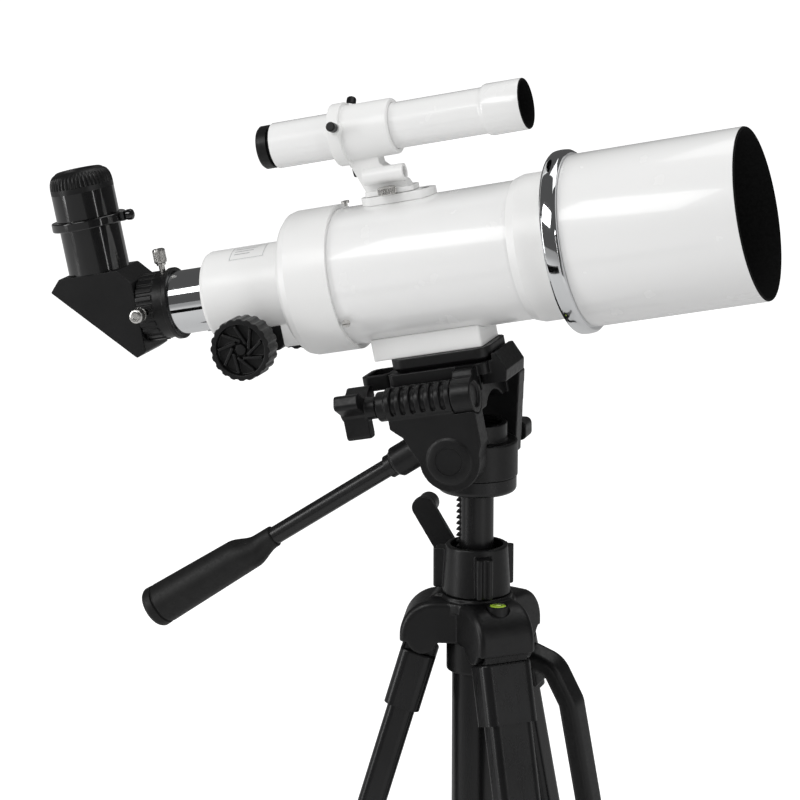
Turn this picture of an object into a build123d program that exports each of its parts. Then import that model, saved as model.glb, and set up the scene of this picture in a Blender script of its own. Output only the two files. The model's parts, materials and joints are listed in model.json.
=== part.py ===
from build123d import *
import math
import os

# Refractor telescope on a geared camera tripod. Millimetres, +Z up, the floor at Z = 0.
# The column axis is the Z axis, and the telescope points along +X, nose up by TILT.

# ---- driving dimensions -------------------------------------------------
TILT = 11.7                 # nose-up angle of the tube at rest, degrees
LEG_LEAN = 16.5             # spread of each leg from the vertical, degrees
LEG_AZIMUTHS = (-48.0, 72.0, 192.0)
LEG_PIVOT_R = 31.0          # leg hinge, from the column axis
LEG_PIVOT_DROP = 230.0      # leg hinge, below the optical axis at the column
FOOT_AT = 427.0             # centre of a foot's ball, along the leg from its hinge
FOOT_R = 11.0
FOOT_FLAT = 0.6             # how far each foot's ball is flattened where it stands
LEG_HEIGHT = FOOT_AT * math.cos(math.radians(LEG_LEAN)) + FOOT_R - FOOT_FLAT
AXIS_HEIGHT = LEG_PIVOT_DROP + LEG_HEIGHT
GAP = 0.3                   # clearance between parts that move on each other
SEAT = 0.05                 # clearance between parts fixed to each other

# Optical tube, along its own axis: X is the distance forward of the column axis.
SHIELD_FRONT = 169.5
SHIELD_R = 50.5
RING_FRONT = 65.5
RING_REAR = 55.5
RING_R = 54.0
CELL_R = 43.5
CELL_REAR = 31.5
TUBE_R = 41.0
TUBE_WALL = 1.5
REAR_CELL_FRONT = -80.0
REAR_CELL_REAR = -113.5
HOUSING_R = 27.5
HOUSING_REAR = -168.5
DRAW_R = 19.3
DRAW_REAR = -196.0
ADAPTER_FRONT = -192.5
ADAPTER_REAR = -213.0
ADAPTER_R = 20.8
FOCUS_X = -137.5            # focus shaft
FOCUS_Z = -26.2
FOCUS_PITCH_R = 5.5
FOCUS_TEETH = 12
KNOB_R = 18.6
KNOB_OUT = 55.0
KNOB_IN = 40.0
BARREL_R = 15.87            # half of 31.75, the 1.25 inch fitting
DIAGONAL_FRONT = -213.5
DIAGONAL_HALF = 18.0
EYE_X = -240.5
EYE_R = 19.3
HOLDER_TOP = 55.0
COLLAR_TOP = 60.5
HOLDER_SCREW_Z = 57.8
EYEPIECE_TOP = 90.0

# Finder scope, on its own axis above the tube.
FINDER_Z = 84.0
FINDER_R = 13.6
FINDER_BELL_R = 15.2
FINDER_FRONT = 46.5
FINDER_REAR = -110.5
CLAMP_X = -43.5             # knurled screw at the finder's foot
CLAMP_Y = -12.2
CLAMP_R = 5.6
FINDER_SCREW_X = -65.5
FINDER_SCREW_ANGLES = (163.0, 43.0, 283.0)
BASE_TOP = 45.3              # top face of the finder's base, above the tube's axis

# Camera head, in the tube's own frame.
BLOCK_FRONT = -2.5
BLOCK_REAR = -70.5
BLOCK_BOTTOM = -50.5
PLATE_BOTTOM = -58.8
PLATFORM_BOTTOM = -66.0
HINGE_Y = -34.0             # side-tilt barrel
HINGE_Z = -74.7
HINGE_R = 10.5
PIVOT_X = -27.9             # tilt axis
PIVOT_Z = -111.1
HUB_R = 18.5
LEVER_HALF = 5.0            # tongue of the release lever
LEVER_LOW = -64.4
LEVER_TOP = -61.2
CHEEK_IN = 26.0
CHEEK_OUT = 41.0
FAR_OUT = 38.0
TILT_PIN_R = 4.0

# Pan handle: start of the rod and slope, from the optical axis at the column.
HANDLE_START = (-37.8, -30.0, -118.4)
HANDLE_SLOPE = 33.7
HANDLE_ROD_R = 5.5
GRIP_FROM = 96.0
GRIP_TO = 184.0

# Column and tripod, as drops below the optical axis at the column.
PAN_R = 24.2
PAN_TOP = 109.5
PAN_BOTTOM = 131.0
BASE_DISC_TOP = 131.5
COLUMN_TOP = 141.0
COLUMN_END = 441.0
COLUMN_R = 10.0
RACK_AZIMUTH = 186.0
RACK_PITCH_R = 11.2
CRANK_PITCH_R = 8.0
CRANK_TEETH = 14
CRANK_DROP = 214.0
CRANK_ARM_AT = 60.0
CRANK_ARM = 50.0
CRANK_LEAN = 31.0           # crank arm from the vertical, degrees
COLLAR_FROM = 174.0
COLLAR_TO = 203.5
COLLAR_LOBES = (-62.0, 58.0, 178.0)
BORE_R = 12.9               # clears the column and its rack
SPIDER_TOP = 204.0
GUIDE_R = 14.6
GUIDE_END = 420.0
LEG_HALF = 16.5             # half width of a leg sleeve
LEG_DEPTH = 22.0
TONGUE_HALF = 13.7
SLEEVE_END = 46.0           # lower end of a leg's sleeve, along the leg from its hinge
LOCK_X = 15.0               # pin of a leg's flip lever
LOCK_Z = -386.0


# ---- placing ------------------------------------------------------------
def on_tube(shape):
    """Place a shape drawn in the tube's own frame."""
    return Pos(0, 0, AXIS_HEIGHT) * Rot(0, -TILT, 0) * shape


def upright(shape):
    """Place a shape drawn from the optical axis at the column, unturned."""
    return Pos(0, 0, AXIS_HEIGHT) * shape


def on_leg(shape, azimuth):
    """Place a shape drawn along a hanging leg: -Z down the leg, +X outward, hinge at the origin."""
    hinge = Pos(LEG_PIVOT_R, 0, AXIS_HEIGHT - LEG_PIVOT_DROP)
    return Rot(0, 0, azimuth) * hinge * Rot(0, -LEG_LEAN, 0) * shape


def save(shape, name):
    export_step(shape, f"parts/{name}.step")
    print(name, round(shape.volume))


# ---- shapes -------------------------------------------------------------
def rod_x(radius, x0, x1, y=0.0, z=0.0):
    return Pos((x0 + x1) / 2, y, z) * Rot(0, 90, 0) * Cylinder(radius, abs(x1 - x0))


def rod_y(radius, y0, y1, x=0.0, z=0.0):
    return Pos(x, (y0 + y1) / 2, z) * Rot(90, 0, 0) * Cylinder(radius, abs(y1 - y0))


def rod_z(radius, z0, z1, x=0.0, y=0.0):
    return Pos(x, y, (z0 + z1) / 2) * Cylinder(radius, abs(z1 - z0))


def block(x0, x1, y0, y1, z0, z1):
    size = Box(abs(x1 - x0), abs(y1 - y0), abs(z1 - z0))
    return Pos((x0 + x1) / 2, (y0 + y1) / 2, (z0 + z1) / 2) * size


def ring_x(outer, inner, x0, x1):
    return rod_x(outer, x0, x1) - rod_x(inner, x0 - 1, x1 + 1)


def turned(points):
    """Solid of revolution about X from (x, radius) corners."""
    outline = Polyline(*[(x, 0, r) for x, r in points], close=True)
    return revolve(make_face(outline), Axis.X)


def plate_y(points, y0, y1):
    """Prism between y0 and y1 from (x, z) corners."""
    outline = Polyline(*[(x, y0, z) for x, z in points], close=True)
    return extrude(make_face(outline), amount=y1 - y0, dir=(0, 1, 0))


def plate_yz(points, x0, x1):
    """Prism between x0 and x1 from (y, z) corners."""
    outline = Polyline(*[(x0, y, z) for y, z in points], close=True)
    return extrude(make_face(outline), amount=x1 - x0, dir=(1, 0, 0))


def soft_box(x0, x1, y0, y1, z0, z1, radius, axis=Axis.Z):
    """A box with the edges along one axis rounded."""
    shape = block(x0, x1, y0, y1, z0, z1)
    return fillet(shape.edges().filter_by(axis), radius)


def lens(radius, x_mid, thickness, bulge):
    """A lens on the X axis: a disc whose two faces bulge by the given height."""
    half = thickness / 2
    ball = (radius ** 2 + bulge ** 2) / (2 * bulge)
    lift = bulge - ball + math.sqrt(ball ** 2 - (radius / 2) ** 2)
    nose = (x_mid + half + bulge, 0)
    tail = (x_mid - half - bulge, 0)
    front = ThreePointArc((x_mid + half, radius), (x_mid + half + lift, radius / 2), nose)
    spine = Line(nose, tail)
    back = ThreePointArc(tail, (x_mid - half - lift, radius / 2), (x_mid - half, radius))
    rim = Line(back @ 1, front @ 0)
    return revolve(make_face([front, spine, back, rim]), Axis.X)


def gear(pitch_r, teeth, width):
    """A pinion about Z with slim straight-sided teeth."""
    root = pitch_r - 1.1
    tip = pitch_r + 0.8
    pitch = 2 * math.pi * pitch_r / teeth
    shape = Cylinder(root, width)
    corners = [(root - 0.4, -0.21 * pitch), (tip, -0.10 * pitch),
               (tip, 0.10 * pitch), (root - 0.4, 0.21 * pitch)]
    tooth = extrude(make_face(Polyline(*corners, close=True)), amount=width / 2, both=True)
    for k in range(teeth):
        shape += Rot(0, 0, 360 * k / teeth) * tooth
    return shape


def rack_x(x0, x1, pitch, phase, width):
    """A rack along X whose teeth point to -Z; its pitch line is Z = 0, a gap centred at phase."""
    shape = block(x0, x1, -width / 2, width / 2, 1.0, 2.2)
    count = int((x1 - x0) / pitch)
    first = math.ceil((x0 + pitch / 2 - phase) / pitch - 0.5)
    for k in range(first, first + count):
        mid = phase + (k + 0.5) * pitch
        corners = [(mid - 0.20 * pitch, 1.2), (mid - 0.11 * pitch, -0.8),
                   (mid + 0.11 * pitch, -0.8), (mid + 0.20 * pitch, 1.2)]
        if mid - 0.2 * pitch > x0 and mid + 0.2 * pitch < x1:
            shape += plate_y(corners, -width / 2, width / 2)
    return shape


def lobed(hub_r, lobe_r, reach, angles, thickness):
    """A lobed hand knob about Z, from Z = 0 up."""
    shape = rod_z(hub_r, 0, thickness + 0.6)
    arm = soft_box(0, reach, -lobe_r, lobe_r, 0, thickness, lobe_r * 0.6)
    arm = fillet(arm.edges().group_by(Axis.Z)[-1], 1.0)
    for angle in angles:
        shape += Rot(0, 0, angle) * arm
    return shape


# ---- optical tube -------------------------------------------------------
def dew_shield():
    wall = 1.5
    return turned([(RING_FRONT + SEAT, SHIELD_R - wall), (RING_FRONT + SEAT, SHIELD_R),
                   (SHIELD_FRONT - 0.4, SHIELD_R), (SHIELD_FRONT, SHIELD_R - 0.5),
                   (SHIELD_FRONT, SHIELD_R - wall)])


def chrome_ring():
    seat = SHIELD_R - 1.5
    bevel = 1.6
    return turned([(RING_REAR, seat), (RING_REAR, RING_R - bevel), (RING_REAR + bevel, RING_R),
                   (RING_FRONT - bevel, RING_R), (RING_FRONT, RING_R - bevel),
                   (RING_FRONT, seat)])


def lens_cell():
    flange = SHIELD_R - 1.5 - SEAT
    bore = TUBE_R + SEAT
    return turned([(CELL_REAR, bore), (CELL_REAR, TUBE_R + 1.0), (CELL_REAR + 5, CELL_R),
                   (RING_REAR - SEAT, CELL_R), (RING_REAR, flange), (RING_FRONT + 9, flange),
                   (RING_FRONT + 9, 40.6), (50, 40.6), (50, 37.5), (47.6, 37.5), (47.6, bore)])


def front_lenses():
    crown = lens(40.3, 66.0, 2.4, 2.2)
    flint = lens(40.3, 56.0, 3.2, 1.6)
    finder = Pos(0, 0, FINDER_Z) * lens(12.9, 26.0, 1.4, 0.9)
    return Compound(children=[crown, flint, finder])


def main_tube():
    return ring_x(TUBE_R, TUBE_R - TUBE_WALL, REAR_CELL_FRONT - 15, 47.5)


def rear_cell():
    bore = TUBE_R + SEAT
    seat = HOUSING_R + SEAT
    rear = REAR_CELL_REAR
    return turned([(REAR_CELL_FRONT, bore), (REAR_CELL_FRONT, CELL_R), (rear + 7, CELL_R),
                   (rear + 3.2, CELL_R - 1.1), (rear + 0.9, CELL_R - 3.6), (rear, CELL_R - 7),
                   (rear, seat), (rear + 8, seat), (rear + 8, 36.0), (rear + 17, 38.5),
                   (rear + 17, bore)])


def small_screw(length):
    """A pan-head screw about Z: its head stands on Z = 0 and its shank hangs below."""
    head = rod_z(2.4, 0, 1.5) - block(-3, 3, -0.35, 0.35, 1.0, 2)
    return head + rod_z(1.1, -length, 0)


def body_screws():
    solids = []
    for angle in (90, -30, 210):
        turn = Rot(90 - angle, 0, 0)
        solids.append(turn * Pos(REAR_CELL_FRONT + 5, 0, CELL_R + SEAT) * small_screw(1.5))
    for x in (-58.0, -24.0):
        solids.append(Pos(x, 0, BASE_TOP - 1.5) * small_screw(2.0))
    return Compound(children=solids)


def screw_holes():
    """The holes that the rear cell's three screws sit in."""
    shape = None
    for angle in (90, -30, 210):
        hole = Rot(90 - angle, 0, 0) * rod_z(1.2, CELL_R - 2, CELL_R + 1, REAR_CELL_FRONT + 5)
        shape = hole if shape is None else shape + hole
    return shape


def focuser_housing():
    front = REAR_CELL_REAR + 8.5
    rear = HOUSING_REAR
    shell = turned([(front, HOUSING_R - 3.5), (front, HOUSING_R), (rear + 3, HOUSING_R),
                    (rear + 0.9, HOUSING_R - 0.9), (rear, HOUSING_R - 3), (rear, DRAW_R + GAP),
                    (rear + 5, DRAW_R + GAP), (rear + 5, HOUSING_R - 3.5)])
    bracket = block(FOCUS_X + 14, REAR_CELL_REAR - SEAT, -19, 19, -34, -20)
    bracket -= rod_x(HOUSING_R - 1, FOCUS_X, REAR_CELL_REAR + 5)
    shell += fillet(bracket.edges().filter_by(Axis.X).group_by(Axis.Z)[0], 3)
    window = block(FOCUS_X - 8, FOCUS_X + 8, -8, 8, -40, -15)
    rack_way = block(rear - 1, front + 1, -3.6, 3.6, -23.0, -15)
    shaft_way = rod_y(2.5 + GAP, -30, 30, FOCUS_X, FOCUS_Z)
    return shell - window - rack_way - shaft_way


def pinion_saddle():
    """The black casting under the housing that carries the focus shaft."""
    shape = block(FOCUS_X - 15, FOCUS_X + 13.8, -19, 19, -35, -18)
    shape = fillet(shape.edges().filter_by(Axis.Y).group_by(Axis.Z)[0], 5)
    shape += rod_y(7.0, -31, 31, FOCUS_X, FOCUS_Z)
    shape -= rod_x(HOUSING_R + SEAT, FOCUS_X - 30, FOCUS_X + 30)
    shape -= rod_y(2.5 + GAP, -60, 60, FOCUS_X, FOCUS_Z)
    return shape - rod_y(7.2, -7.6, 7.6, FOCUS_X, FOCUS_Z)


def draw_tube():
    shape = ring_x(DRAW_R, DRAW_R - 1.7, DRAW_REAR, -82)
    pitch = 2 * math.pi * FOCUS_PITCH_R / FOCUS_TEETH
    rack = rack_x(-177, -92, pitch, FOCUS_X, 6.0)
    lift = FOCUS_Z + FOCUS_PITCH_R
    strip = Pos(0, 0, lift) * rack + block(-177, -92, -3, 3, lift + 1.8, lift + 3.2)
    strip -= rod_x(DRAW_R - 0.4, -200, -80)
    return shape + strip


def pinion_shaft():
    shaft = rod_y(2.5, -KNOB_OUT + 3.5, KNOB_OUT - 3.5, FOCUS_X, FOCUS_Z)
    pinion = Rot(90, 0, 0) * Rot(0, 0, 90) * gear(FOCUS_PITCH_R, FOCUS_TEETH, 12.0)
    return shaft + Pos(FOCUS_X, 0, FOCUS_Z) * pinion


def focus_knob():
    """One hand wheel about Z, face up at Z = 15: scalloped rim, dished face, swept ribs."""
    width = KNOB_OUT - KNOB_IN
    shape = rod_z(KNOB_R, 0, width)
    notches = 20
    for k in range(notches):
        angle = 2 * math.pi * k / notches
        reach = KNOB_R + 1.6
        shape -= rod_z(2.4, -1, width + 1, reach * math.cos(angle), reach * math.sin(angle))
    shape -= rod_z(15.2, width - 3.6, width + 1)
    ribs = 9
    for k in range(ribs):
        rib = Pos(8.8, 0, width - 2.3) * Rot(0, 0, 34) * Box(12.0, 1.7, 3.2)
        shape += Rot(0, 0, 360 * k / ribs) * rib
    shape += rod_z(3.2, width - 4.0, width - 1.2)
    shape -= rod_z(2.5 + SEAT, -1, width - 3.4)
    return shape - (rod_z(12.5, -1, 3.0) - rod_z(6.0, -2, 3.1))


def focus_knobs():
    near = Pos(FOCUS_X, -KNOB_IN, FOCUS_Z) * Rot(90, 0, 0) * focus_knob()
    far = Pos(FOCUS_X, KNOB_IN, FOCUS_Z) * Rot(-90, 0, 0) * focus_knob()
    return Compound(children=[near, far])


def eyepiece_adapter():
    step = ADAPTER_FRONT - 10.0
    shape = ring_x(ADAPTER_R - 0.6, BARREL_R + GAP, ADAPTER_REAR, ADAPTER_FRONT)
    shape += ring_x(ADAPTER_R + 1.0, BARREL_R + GAP, ADAPTER_FRONT - 3.0, ADAPTER_FRONT)
    shape -= rod_x(DRAW_R + SEAT, DRAW_REAR - SEAT, ADAPTER_FRONT + 1)
    ribs = 24
    for k in range(ribs):
        rib = Pos((ADAPTER_REAR + step) / 2, 0, ADAPTER_R - 0.8) * Box(step - ADAPTER_REAR, 3.0, 2.0)
        shape += Rot(360 * (k + 0.5) / ribs, 0, 0) * rib
    shape -= Pos(-199.5, 0, 0) * rod_z(1.8 + GAP, 10, 30)
    return shape - rod_y(1.8 + GAP, -30, -10, -207.5, 0)


def thumbscrew(head_r, head_from, head_to, tip):
    """A thumbscrew about Z, shank down to the tip."""
    stem = 1.8
    shape = rod_z(head_r, head_from, head_to) + rod_z(stem, tip, head_from + 1)
    return shape + rod_z(stem + 1.0, head_from - 1.2, head_from)


def diagonal_corners(inset):
    """Side outline of the mirror housing as (x, z), drawn in by an inset."""
    slope = inset * 1.2
    return [(DIAGONAL_FRONT - inset, 18.3 - inset * 0.4), (-222.0 - inset * 0.4, 27.3 - inset),
            (-260.3 + inset * 0.4, 27.3 - inset), (-267.3 + slope, 20.0 - inset * 0.2),
            (-220.0 - inset * 0.2, -27.3 + slope), (DIAGONAL_FRONT - inset, -24.5 + inset * 0.6)]


def diagonal_housing():
    shape = plate_y(diagonal_corners(0), -DIAGONAL_HALF, DIAGONAL_HALF)
    shape = fillet(shape.edges().filter_by(Axis.Y), 0.8)
    shape -= plate_y(diagonal_corners(4.0), -DIAGONAL_HALF + 2, DIAGONAL_HALF - 2)
    shape += ring_x(BARREL_R, BARREL_R - 1.6, DIAGONAL_FRONT - 1, DIAGONAL_FRONT + 24)
    shape -= rod_x(BARREL_R - 1.6, DIAGONAL_FRONT - 6, DIAGONAL_FRONT + 25)
    return shape - rod_z(BARREL_R + 0.9, 15, 30, EYE_X)


def diagonal_mirror():
    """The flat mirror glued along the slanted wall."""
    top = (-258.5, 20.8)
    low = (-222.5, -18.2)
    run = math.hypot(low[0] - top[0], low[1] - top[1])
    angle = math.degrees(math.atan2(top[1] - low[1], low[0] - top[0]))
    glass = Box(run - 16, 30, 1.6)
    middle = Pos((top[0] + low[0]) / 2, 0, (top[1] + low[1]) / 2)
    return middle * Rot(0, angle, 0) * Pos(0, 0, 1.2) * glass


def eyepiece_holder():
    shape = rod_z(EYE_R - 0.6, 27.3 + SEAT, HOLDER_TOP + 1, EYE_X)
    collar = rod_z(EYE_R + 3.6, HOLDER_TOP, COLLAR_TOP, EYE_X)
    shape += fillet(collar.edges().filter_by(GeomType.CIRCLE), 0.8)
    shape += block(EYE_X + 18, EYE_X + 25.0, -4, 4, HOLDER_TOP, COLLAR_TOP)
    shape += rod_z(BARREL_R + 0.8, 22.0, 28.0, EYE_X)
    shape -= rod_z(BARREL_R + GAP, 34.0, 80.0, EYE_X)
    shape -= rod_z(BARREL_R - 1.2, 20.0, 35.0, EYE_X)
    return shape - rod_x(1.6 + GAP, EYE_X + 10, EYE_X + 30, 0, HOLDER_SCREW_Z)


def holder_thumbscrew():
    head = rod_x(3.4, EYE_X + 25.5, EYE_X + 30.0, 0, HOLDER_SCREW_Z)
    return head + rod_x(1.6, EYE_X + BARREL_R + 0.5, EYE_X + 26, 0, HOLDER_SCREW_Z)


def eyepiece_body():
    shape = rod_z(BARREL_R, 36.0, COLLAR_TOP + GAP + 1, EYE_X)
    shape += rod_z(EYE_R, COLLAR_TOP + GAP, 77.0, EYE_X)
    shape += rod_z(EYE_R - 3.0, 76.0, 80.0, EYE_X)
    return shape - rod_z(11.0, 30.0, 90.0, EYE_X)


def eyepiece_crown():
    """The rubber cap round the eye lens."""
    top = EYEPIECE_TOP
    profile = [(77.0 + SEAT, EYE_R - 3.0 + SEAT), (77.0 + SEAT, EYE_R), (81.5, EYE_R - 0.3),
               (85.5, EYE_R - 1.5), (88.3, EYE_R - 3.2), (top, EYE_R - 5.2), (top, 11.5),
               (87.0, 9.0), (80.0 + SEAT, 9.0), (80.0 + SEAT, EYE_R - 3.0 + SEAT)]
    outline = Polyline(*[(EYE_X + r, 0, z) for z, r in profile], close=True)
    return revolve(make_face(outline), Axis((EYE_X, 0, 0), (0, 0, 1)))


def eyepiece_lens():
    return Pos(EYE_X, 0, 81.5) * Rot(0, 90, 0) * lens(8.9, 0, 1.6, 1.4)


# ---- finder scope -------------------------------------------------------
def finder_base():
    shape = soft_box(-64.0, -18.0, -9, 9, 36, BASE_TOP, 8.5)
    shape -= rod_x(TUBE_R + SEAT, -80, 0)
    for x in (-58.0, -24.0):
        shape -= rod_z(1.2, 41, 50, x) + rod_z(2.4 + SEAT, BASE_TOP - 1.5, 50, x)
    return shape


def finder_bracket():
    ring = Pos(0, 0, FINDER_Z) * rod_x(16.6, -71.5, -34.5)
    ring = fillet(ring.edges().filter_by(GeomType.CIRCLE), 1.2)
    ring += Pos(0, 0, FINDER_Z) * rod_x(18.6, -71.5, -64.0)
    for angle in FINDER_SCREW_ANGLES:
        boss = Rot(angle - 90, 0, 0) * rod_z(3.6, 14, 20.5, FINDER_SCREW_X)
        ring += Pos(0, 0, FINDER_Z) * boss
    stalk = plate_y([(-72.0, 72.5), (-66.0, 66.5), (-58.0, 45.5), (-31.0, 45.5), (-34.0, 51.5),
                     (-47.0, 64.0), (-48.0, 71.5)], -5.5, 5.5)
    stalk += rod_x(5.0, -57.0, -31.5, -8.5, 57.5)
    stalk += block(-57.0, -34.0, -8.5, 0, 54.5, 60.5)
    foot = soft_box(-60.0, -29.0, -8, 8, 45.5, 48.5, 4)
    stalk += foot
    stalk -= rod_x(3.2, -45.0, -30.0, -8.5, 57.5)
    shape = ring + stalk
    shape -= Pos(0, 0, FINDER_Z) * rod_x(FINDER_R + 0.9, -80, -36.5)
    shape -= Pos(0, 0, FINDER_Z) * rod_x(FINDER_R + SEAT, -40, -30)
    for angle in FINDER_SCREW_ANGLES:
        hole = rod_z(1.6 + SEAT, 12, 30, FINDER_SCREW_X) + rod_z(3.3, 20.9, 30, FINDER_SCREW_X)
        hole = Rot(angle - 90, 0, 0) * hole
        shape -= Pos(0, 0, FINDER_Z) * hole
    return shape - rod_z(CLAMP_R + 0.5, 45, 51.5, CLAMP_X, CLAMP_Y)


def finder_clamp_screw():
    """The round screw that clamps the finder's foot to its base."""
    return rod_z(CLAMP_R, 46.0, 50.6, CLAMP_X, CLAMP_Y)


def finder_screws():
    solids = []
    for angle in FINDER_SCREW_ANGLES:
        screw = rod_z(1.6, FINDER_R + 0.1, 22, FINDER_SCREW_X)
        head = rod_z(2.9, 21.2, 27.0, FINDER_SCREW_X)
        screw += fillet(head.edges().filter_by(GeomType.CIRCLE), 0.8)
        solids.append(Pos(0, 0, FINDER_Z) * Rot(angle - 90, 0, 0) * screw)
    return Compound(children=solids)


def finder_tube():
    bell = 20.5
    shape = turned([(FINDER_REAR, FINDER_R - 1.2), (FINDER_REAR, FINDER_R - 0.5),
                    (FINDER_REAR + 0.8, FINDER_R), (bell, FINDER_R),
                    (bell + 4, FINDER_BELL_R), (FINDER_FRONT, FINDER_BELL_R - 0.2),
                    (FINDER_FRONT, FINDER_BELL_R - 1.4), (bell + 8, FINDER_BELL_R - 1.4),
                    (bell + 8, FINDER_R - 0.65), (bell, FINDER_R - 0.65),
                    (bell, FINDER_R - 1.2)])
    return Pos(0, 0, FINDER_Z) * shape


def finder_eyepiece():
    rear = FINDER_REAR
    shape = turned([(rear + 12, 8.0), (rear + 12, FINDER_R - 1.3), (rear - SEAT, FINDER_R - 1.3),
                    (rear - SEAT, 11.2), (rear - 1.6, 11.2), (rear - 2.2, 12.9),
                    (rear - 7.6, 12.9), (rear - 8.8, 11.9), (rear - 8.8, 8.6), (rear - 5, 4.5),
                    (rear + 1, 4.5), (rear + 2, 8.0)])
    return Pos(0, 0, FINDER_Z) * shape


# ---- head ---------------------------------------------------------------
def foot_block():
    shape = soft_box(BLOCK_REAR, BLOCK_FRONT, -17.5, 17.5, BLOCK_BOTTOM, -30, 1.5)
    shape -= rod_x(TUBE_R + SEAT, -90, 20)
    return shape - rod_z(3.0, BLOCK_BOTTOM - 1, BLOCK_BOTTOM + 6.3, -36)


def quick_release_plate():
    top = BLOCK_BOTTOM - SEAT
    shape = soft_box(-60.5, 1.5, -22, 22, PLATE_BOTTOM, top, 9)
    shape = chamfer(shape.edges().group_by(Axis.Z)[0], 2.5)
    shape -= rod_z(3.4, PLATE_BOTTOM - 1, top + 1, -36)
    return shape - rod_z(8.4, PLATE_BOTTOM - 1, PLATE_BOTTOM + 3.2, -36)


def plate_screw():
    """The quarter-inch camera screw that holds the telescope's foot."""
    shape = rod_z(8.0, PLATE_BOTTOM + 0.3, PLATE_BOTTOM + 3.0, -36)
    shape += rod_z(2.9, PLATE_BOTTOM + 2, BLOCK_BOTTOM + 5.5, -36)
    return shape - block(-44, -28, -0.7, 0.7, PLATE_BOTTOM, PLATE_BOTTOM + 1.6)


def platform():
    top = PLATE_BOTTOM - SEAT
    shape = soft_box(-62.0, 0.0, -24, 24, PLATFORM_BOTTOM, top, 4)
    shape += plate_y([(-6.0, -72.5), (8.5, -72.5), (10.0, -66.0), (5.0, -55.0), (2.2, -55.0),
                      (2.2, top), (-6.0, top)], -19, 19)
    knuckle = rod_x(HINGE_R + 0.4, -19.0, -6.5, HINGE_Y, HINGE_Z)
    knuckle += plate_yz([(HINGE_Y - 2, HINGE_Z + 8), (HINGE_Y + 11, HINGE_Z + 6),
                         (-20, PLATFORM_BOTTOM + 1), (-20, top), (HINGE_Y + 2, top - 1.5)],
                        -19.0, -6.5)
    knuckle -= rod_x(3.2 + GAP, -30, -9.0, HINGE_Y, HINGE_Z)
    knuckle -= rod_x(7.5, -8.0, -6.0, HINGE_Y, HINGE_Z)
    slot = block(-63.0, -47.5, -LEVER_HALF - GAP, LEVER_HALF + GAP, LEVER_LOW - GAP, LEVER_TOP + GAP)
    return shape + knuckle - slot


def release_lever():
    """The finger loop behind the platform; its tongue slides in the platform."""
    top = -59.6
    low = -68.6
    shape = soft_box(-83.0, -63.0, -13, 13, low, top, 5)
    shape -= soft_box(-79.8, -66.6, -9.6, 9.6, low - 1, top + 1, 3)
    return shape + block(-64.0, -52.0, -LEVER_HALF, LEVER_HALF, LEVER_LOW, LEVER_TOP)


def side_tilt_knob():
    knob = lobed(6.0, 4.6, 17.5, (60, 180, 300), 15.0)
    shape = Pos(-74.0, HINGE_Y, HINGE_Z) * Rot(0, -90, 0) * knob
    shape += rod_x(6.6, -74.5, -67.5, HINGE_Y, HINGE_Z)
    return shape + rod_x(3.2, -68.0, -9.5, HINGE_Y, HINGE_Z)


def hinge_barrel():
    """The slotted barrel on the near side that the platform tips over on."""
    front = -19.5
    rear = -66.5
    shape = rod_x(HINGE_R, rear + 6, front, HINGE_Y, HINGE_Z)
    shape += rod_x(HINGE_R - 1.6, rear, rear + 6, HINGE_Y, HINGE_Z)
    for k in range(6):
        x = rear + 11 + k * 6.2
        slot = rod_x(HINGE_R + 1, x - 1.5, x + 1.5, HINGE_Y, HINGE_Z)
        slot -= rod_x(HINGE_R - 2.2, x - 2, x + 2, HINGE_Y, HINGE_Z)
        slot -= block(x - 3, x + 3, HINGE_Y, HINGE_Y + 20, HINGE_Z - 20, HINGE_Z + 20)
        slot -= block(x - 3, x + 3, HINGE_Y - 20, HINGE_Y + 20, HINGE_Z - 20, HINGE_Z - 5)
        shape -= slot
    return shape


def cheek(outline, y0, y1):
    shape = plate_y(outline, y0, y1)
    return shape + rod_y(HUB_R, y0, y1, PIVOT_X, PIVOT_Z)


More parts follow.
